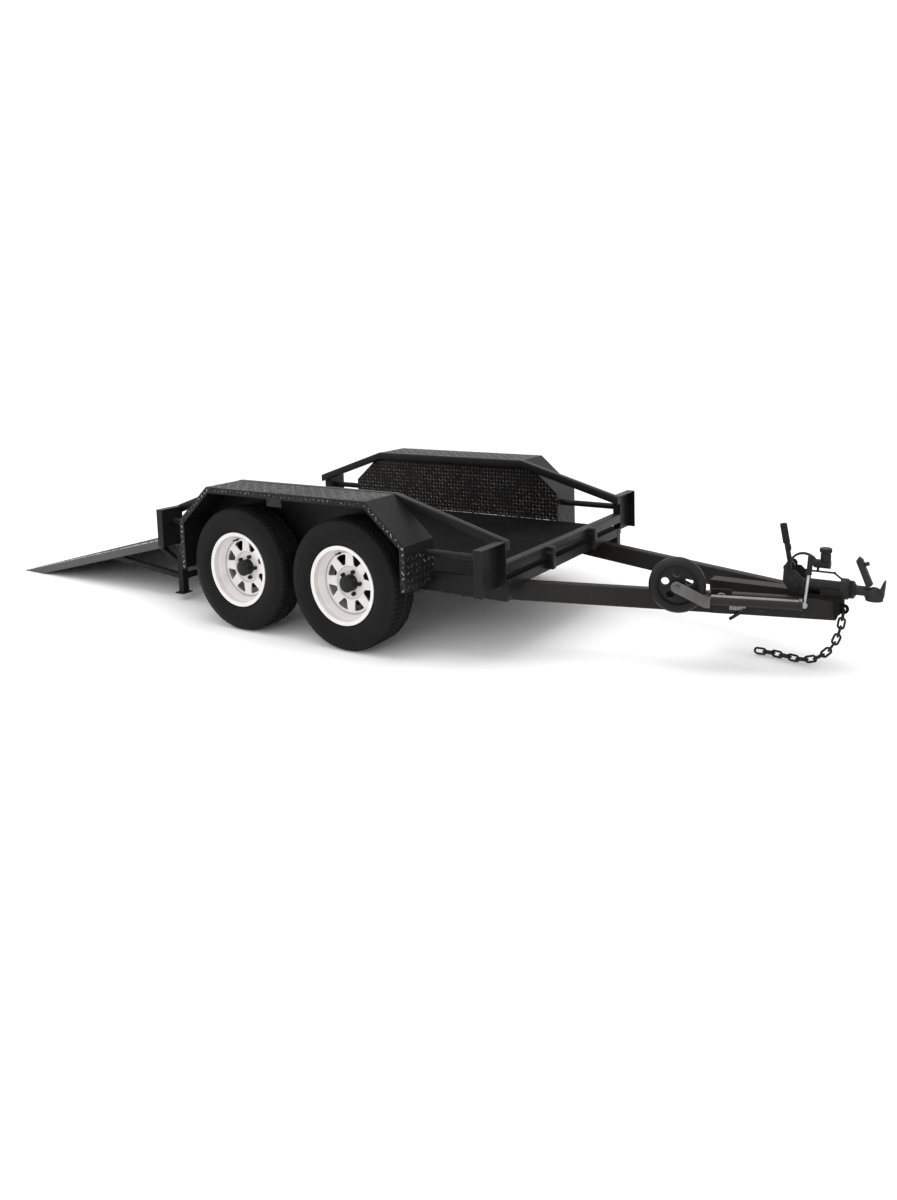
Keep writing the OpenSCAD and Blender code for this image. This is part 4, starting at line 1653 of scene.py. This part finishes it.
@dataclass
class JockeyWheel(Assembly):
    """Tube, crank, grip and clamp ribs of the stowed jockey wheel."""

    pivot: Triple = (0.883, -0.083, 0.032)
    radius: float = 0.022
    wall: float = 0.0048
    reach: float = 0.338
    arm: float = 0.126
    grip_low: float = 0.010
    grip_long: float = 0.086
    lean: float = 6.0
    crank_out: float = 0.006
    wheel: Pair = (-0.190, 0.058)
    fork: float = 0.047
    plate: float = 0.053
    rib_x: Pair = (0.035, 0.0405)
    rib_z: Pair = (-0.0565, -0.0315)
    rib_high: float = 0.003
    rib_step: float = 0.0079
    rib_count: int = 9

    def frame(self) -> Matrix:
        """The tube's frame: +X to the crank, +Y to the beam."""
        return Drawbar(self.finishes).frame() @ Matrix.Translation(self.pivot)

    def crank_frame(self) -> Matrix:
        """The crank's frame: +Z along its arm."""
        lean = Matrix.Rotation(math.radians(self.lean), 4, "Y")
        return self.frame() @ Matrix.Translation((self.reach + self.crank_out, 0.0, 0.0)) @ lean

    def tube(self) -> Piece:
        """Turns the outer tube with its collar and pivot boss.

        Returns:
            The tube.
        """
        r, end = self.radius, self.reach
        bore, collar = r - self.wall, r + 0.004
        rows = [(0.0, end - 0.040), (bore, end - 0.040), (bore, -0.044), (r - 0.001, -0.044), (r, -0.043)]
        rows += [(r, end - 0.0165), (r + 0.003, end - 0.0155), (collar, end - 0.014), (collar, end - 0.0035)]
        rows += [(r + 0.003, end - 0.002), (0.0, end - 0.002)]
        barrel = Bench.turned("jockey_barrel", rows, ORIGIN, Axis.X, 48)
        boss_rows = [(0.0, 0.0275), (0.024, 0.0275), (0.026, 0.0260), (0.026, 0.0100), (0.0, 0.0100)]
        boss = Bench.turned("jockey_boss", boss_rows, ORIGIN, Axis.Y, 40)
        piece = Bench.move(Bench.join("jockey_barrel", [barrel, boss]), self.frame())
        # the finish lays a painted highlight along the tube's top
        return Bench.dress(piece, self.finishes.greased, "jockey_swing", "zinc", 30.0, "jockey_tube")

    def crank(self) -> Piece:
        """Models the crank's flat arm, boss, nut and stub.

        Returns:
            The crank.
        """
        arm = Bench.box("crank_arm", (-0.005, -0.008, 0.0), (0.005, 0.008, self.arm))
        Bench.bevel(arm, 0.0018)
        low, high = self.arm - 0.002, self.arm + 0.012
        stub_rows = [(0.0, low), (0.006, low), (0.006, high), (0.0, high)]
        stub = Bench.turned("crank_stub", stub_rows, ORIGIN, Axis.Z, 20)
        upper = Bench.move(Bench.join("crank_arm", [arm, stub]), self.crank_frame())
        near, far = self.reach - 0.002, self.reach + 0.014
        rows = [(0.0, near), (0.014, near), (0.014, far - 0.002), (0.0125, far), (0.0080, far)]
        rows += [(0.0075, far + 0.0035), (0.0060, far + 0.0045), (0.0, far + 0.0045)]
        boss = Bench.move(Bench.turned("crank_boss", rows, ORIGIN, Axis.X, 32), self.frame())
        piece = Bench.join("crank_arm", [upper, boss])
        return Bench.dress(piece, self.finishes.zinc, "jockey_swing", "zinc", 30.0)

    def grip(self) -> Piece:
        """Turns the crank's waisted grip.

        Returns:
            The grip.
        """
        low = self.arm + self.grip_low
        high = low + self.grip_long
        rows: list[Pair] = [(0.0062, low), (0.0118, low), (0.0130, low + 0.0012), (0.0130, low + 0.005)]
        rows += [(0.0122, low + 0.0065), (0.0112, low + 0.022), (0.0116, low + 0.042)]
        rows += [(0.0128, high - 0.016), (0.0130, high - 0.008), (0.0122, high - 0.003)]
        rows += [(0.0098, high - 0.0006), (0.0, high)]
        piece = Bench.move(Bench.turned("crank_grip", rows, ORIGIN, Axis.Z, 32), self.crank_frame())
        return Bench.dress(piece, self.finishes.grip, "jockey_swing", "black_plastic", 35.0)

    def ribs(self) -> Piece:
        """Models the clamp plate's ribs.

        Returns:
            The ribs.
        """
        low = (self.rib_x[0], self.plate - self.rib_high, self.rib_z[0])
        piece = Bench.box("clamp_ribs", low, (self.rib_x[1], self.plate, self.rib_z[1]))
        Bench.bevel(piece, 0.0014)
        Bench.repeat(piece, self.rib_count, (self.rib_step, 0.0, 0.0))
        Bench.move(piece, self.frame())
        return Bench.dress(piece, self.finishes.zinc, "chassis", "zinc", 40.0)

    def axle_nuts(self) -> list[tuple[Vector, Vector]]:
        """Finds the seats of the wheel axle's two nuts.

        Returns:
            The place and the way of each nut.
        """
        frame = self.frame()
        nuts = []
        for side in Side:
            place = frame @ Vector((self.wheel[0], side.value * self.fork, self.wheel[1]))
            nuts.append((place, frame.to_3x3() @ side.way))
        return nuts

    def build(self) -> list[Piece]:
        """Builds the jockey wheel's pieces."""
        return [self.tube(), self.crank(), self.grip(), self.ribs()]


# Fasteners, welds and lamps


@dataclass
class Hardware(Assembly):
    """Hexagon bolts and weld beads, each modelled once and copied."""

    marker_x: Pair = (-0.084 + SHIFT, -0.002 + SHIFT)
    marker_face: float = 0.871
    marker_z: float = 0.708
    marker_screw: float = 0.007
    body_bolt: float = 0.013
    body_x: tuple[float, ...] = (2.296 + SHIFT, 2.326 + SHIFT, 2.404 + SHIFT, 2.444 + SHIFT)
    body_half: float = 0.035
    lever_pin: float = 0.020
    sector_pin: Pair = (2.300 + SHIFT, 0.372)
    sector_face: float = 0.058
    axle_nut: float = 0.022
    bolt_turn: float = 17.0
    bead: float = 0.007
    upright_x: float = DECK_FRONT + 0.001
    upright_half: float = 0.019
    upright_seams: tuple[Pair, ...] = ((0.428, 0.472), (0.364, 0.394))
    corner_seams: tuple[tuple[Triple, Triple], ...] = (
        ((DECK_FRONT - 0.045, 0.641, 0.372), (DECK_FRONT - 0.045, 0.641, 0.396)),
        ((DECK_FRONT - 0.003, 0.599, 0.430), (DECK_FRONT - 0.003, 0.599, 0.470)),
        ((DECK_FRONT + 0.003, 0.418, 0.350), (DECK_FRONT + 0.003, 0.470, 0.350)),
    )

    def __post_init__(self) -> None:
        """Models the first bolt and the first bead."""
        self.bolt_seed = self._bolt()
        self.bead_seed = self._bead()

    @staticmethod
    def _bolt() -> Piece:
        """Models a bolt head on a washer, facing +Z, one unit across the corners.

        Returns:
            The bolt.
        """
        washer = Bench.drum("bolt_seed", 24, 0.68, 0.0, 0.14)
        Bench.bevel(washer, 0.03, 1)
        head = Bench.drum("bolt_head", 6, 0.5, 0.14, 0.44)
        Bench.choose(head, lambda at, way: way.z > 0.9)
        bpy.ops.mesh.inset(thickness=0.07, depth=0.05)
        bpy.ops.mesh.inset(thickness=0.12, depth=-0.03)
        return Bench.join("bolt_seed", [washer, head])

    @staticmethod
    def _bead() -> Piece:
        """Models a rippled bead along +X, one unit long and thick.

        Returns:
            The bead.
        """
        rows: list[Pair] = [(0.0, -0.5)]
        for ripple in range(14):
            at = -0.49 + ripple * 0.07
            rows += [(0.40, at), (0.5, at + 0.03)]
        piece = Bench.turned("bead_seed", [*rows, (0.0, 0.5)], ORIGIN, Axis.X, 8)
        Bench.smooth(piece, 60.0)
        return piece

    def bolts(
        self,
        name: str,
        places: Iterable[Sequence[float]],
        way: Vector,
        size: float,
        finish: Finish,
        body: str = "chassis",
    ) -> Piece:
        """Sets bolts that face one way.

        Args:
            name: the piece's name.
            places: the bolts' seats.
            way: the way that the heads face.
            size: the head's width across its corners.
            finish: their finish.
            body: the body that they ride on.

        Returns:
            The bolts as one piece.
        """
        turn = way.to_track_quat("Z", "Y").to_matrix().to_4x4()
        scale = Matrix.Diagonal((size, size, size, 1.0))
        copies = []
        for number, place in enumerate(places):
            spin = Matrix.Rotation(math.radians(self.bolt_turn * number), 4, "Z")
            matrix = Matrix.Translation(place) @ turn @ spin @ scale
            copies.append(Bench.copy(self.bolt_seed, f"{name}_{number}", matrix))
        return Bench.dress(Bench.join(name, copies), finish, body, "zinc", 25.0)

    def screws(self, side: Side) -> Piece:
        """Sets the screws of a side's marker plate.

        Args:
            side: the trailer's side.

        Returns:
            The screws.
        """
        seats = [(x, side.value * self.marker_face, self.marker_z) for x in self.marker_x]
        finish = self.finishes.plastic
        return self.bolts(f"marker_screws_{side.word}", seats, side.way, self.marker_screw, finish)

    def pins(self, side: Side) -> Piece:
        """Sets the pins on one side of the brake sector.

        Args:
            side: the trailer's side.

        Returns:
            The pins.
        """
        face = side.value * self.sector_face
        seats = [(x, face, z) for x, z in (Coupling.lever, self.sector_pin)]
        return self.bolts(f"lever_pins_{side.word}", seats, side.way, self.lever_pin, self.finishes.cast)

    def welds(self) -> Piece:
        """Lays the weld beads of the headboard and the deck's front corners.

        Returns:
            The beads as one piece.
        """
        seams = []
        for y in (-FrameRails.head_gap / 2, FrameRails.head_gap / 2):
            for edge in (y - self.upright_half, y + self.upright_half):
                for low, high in self.upright_seams:
                    seams.append(((self.upright_x, edge, low), (self.upright_x, edge, high)))
        for mirror in (Vector((1.0, -1.0, 1.0)), Vector((1.0, 1.0, 1.0))):
            seams += [(Vector(a) * mirror, Vector(b) * mirror) for a, b in self.corner_seams]
        copies = []
        for number, (start, end) in enumerate(seams):
            a, b = Vector(start), Vector(end)
            turn = (b - a).to_track_quat("X", "Z").to_matrix().to_4x4()
            scale = Matrix.Diagonal(((b - a).length, self.bead, self.bead, 1.0))
            matrix = Matrix.Translation((a + b) / 2) @ turn @ scale
            copies.append(Bench.copy(self.bead_seed, f"frame_welds_{number}", matrix))
        piece = Bench.join("frame_welds", copies)
        return Bench.dress(piece, self.finishes.black, "chassis", "black_paint", 60.0)

    def build(self) -> list[Piece]:
        """Sets the trailer's bolts and welds, and deletes the two models that were copied.

        Returns:
            The pieces.
        """
        pieces = [self.screws(side) for side in Side]
        feet = [(x, y, Coupling.axis_z) for x in self.body_x for y in (-self.body_half, self.body_half)]
        upright = Vector(Axis.Z.value)
        pieces.append(self.bolts("override_bolts", feet, upright, self.body_bolt, self.finishes.cast))
        pieces += [self.pins(side) for side in Side]
        finish = self.finishes.dull_zinc
        for number, (place, way) in enumerate(JockeyWheel(self.finishes).axle_nuts()):
            nut = self.bolts(f"axle_nut_{number}", [place], way, self.axle_nut, finish, "jockey_slide")
            pieces.append(nut)
        pieces.append(self.welds())
        Bench.pick(self.bolt_seed, self.bead_seed)
        bpy.ops.object.delete()
        return pieces


@dataclass
class TailLamp(Assembly):
    """Ribbed lenses of one tail lamp."""

    side: Side
    face: float = DECK_REAR + 0.014
    near: float = 0.674
    far: float = 0.760
    red: Pair = (0.423, 0.474)
    amber: Pair = (0.477, 0.527)
    depth: float = 0.011
    rib: float = 0.0012

    def lens(self, colour: str, heights: Pair, finish: Finish) -> Piece:
        """Models one lens with a grid of ribs.

        Args:
            colour: the colour's name.
            heights: the lens's lower and upper edge.
            finish: its plastic.

        Returns:
            The lens.
        """
        low, high = self.side.span(self.near, self.far)
        corner = (self.face - self.depth, low, heights[0])
        piece = Bench.box(f"{colour}_lens_{self.side.word}", corner, (self.face, high, heights[1]))
        Bench.bevel(piece, 0.004)
        Bench.choose(piece, self._rearward)
        bpy.ops.mesh.subdivide(number_cuts=7)
        Bench.sink(piece, self._rearward, self.rib, self.rib)
        return Bench.dress(piece, finish, "chassis", "black_plastic", 30.0)

    @staticmethod
    def _rearward(at: Vector, way: Vector) -> bool:
        """Tells whether a face looks to the rear."""
        return way.x < -0.99

    def build(self) -> list[Piece]:
        """Builds the lamp's lenses."""
        red = self.lens("red", self.red, self.finishes.red)
        return [red, self.lens("amber", self.amber, self.finishes.amber)]


def paint_nodes(nodes: dict[str, Piece], finishes: Finishes) -> None:
    """Gives every CAD node its finish.

    Args:
        nodes: the CAD nodes by name.
        finishes: the trailer's finishes.
    """
    special = {
        "drawbar_left": finishes.drawbar,
        "drawbar_right": finishes.drawbar,
        "drawbar_spine": finishes.drawbar,
        "nose_plate": finishes.nose,
        "override_body": finishes.cast,
        "draw_shaft": finishes.head,
        "coupling_head": finishes.head,
        "coupling_latch": finishes.head,
        "brake_bracket": finishes.cast,
        "brake_lever": finishes.cast,
        "fluid_reservoir": finishes.plastic,
        "safety_chain": finishes.chain,
        "axle_front": finishes.cast,
        "axle_rear": finishes.cast,
        "lamps": finishes.plastic,
        "jockey_bracket": finishes.drawbar,
        "deck_floor": finishes.floor,
        "ramp_frame": finishes.ramp_rail,
        # the tube's finish lays a painted highlight along its top
        "jockey_tube": finishes.greased,
        "jockey_leg": finishes.dull_zinc,
        "jockey_wheel": finishes.roller,
        "ramp_pin": finishes.zinc,
    }
    families = {"tyre": finishes.tyre, "rim": finishes.white, "hub": finishes.cast, "ramp": finishes.ramp}
    for name, piece in nodes.items():
        finish = special.get(name) or families.get(name.split("_")[0]) or finishes.black
        piece.data.materials.clear()
        piece.data.materials.append(finish)


def main() -> None:
    """Loads the CAD frame, dresses it and sets the studio."""
    logging.basicConfig(level=logging.INFO, format="%(name)s: %(message)s")
    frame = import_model()
    Studio().build()
    finishes = Finishes()
    paint_nodes(frame["nodes"], finishes)
    groups: list[Assembly] = [RoadWheel(finishes, axle, side) for axle in Axle for side in Side]
    groups += [Mudguard(finishes, side) for side in Side]
    groups += [kind(finishes) for kind in (FrameRails, Drawbar, Ramp, Coupling, JockeyWheel)]
    groups += [TailLamp(finishes, side) for side in Side]
    groups += [Hardware(finishes)]
    for group in groups:
        for piece in group.build():
            LOG.info("%s: %d faces", piece.name, len(piece.data.polygons))


if __name__ == "__main__":
    main()
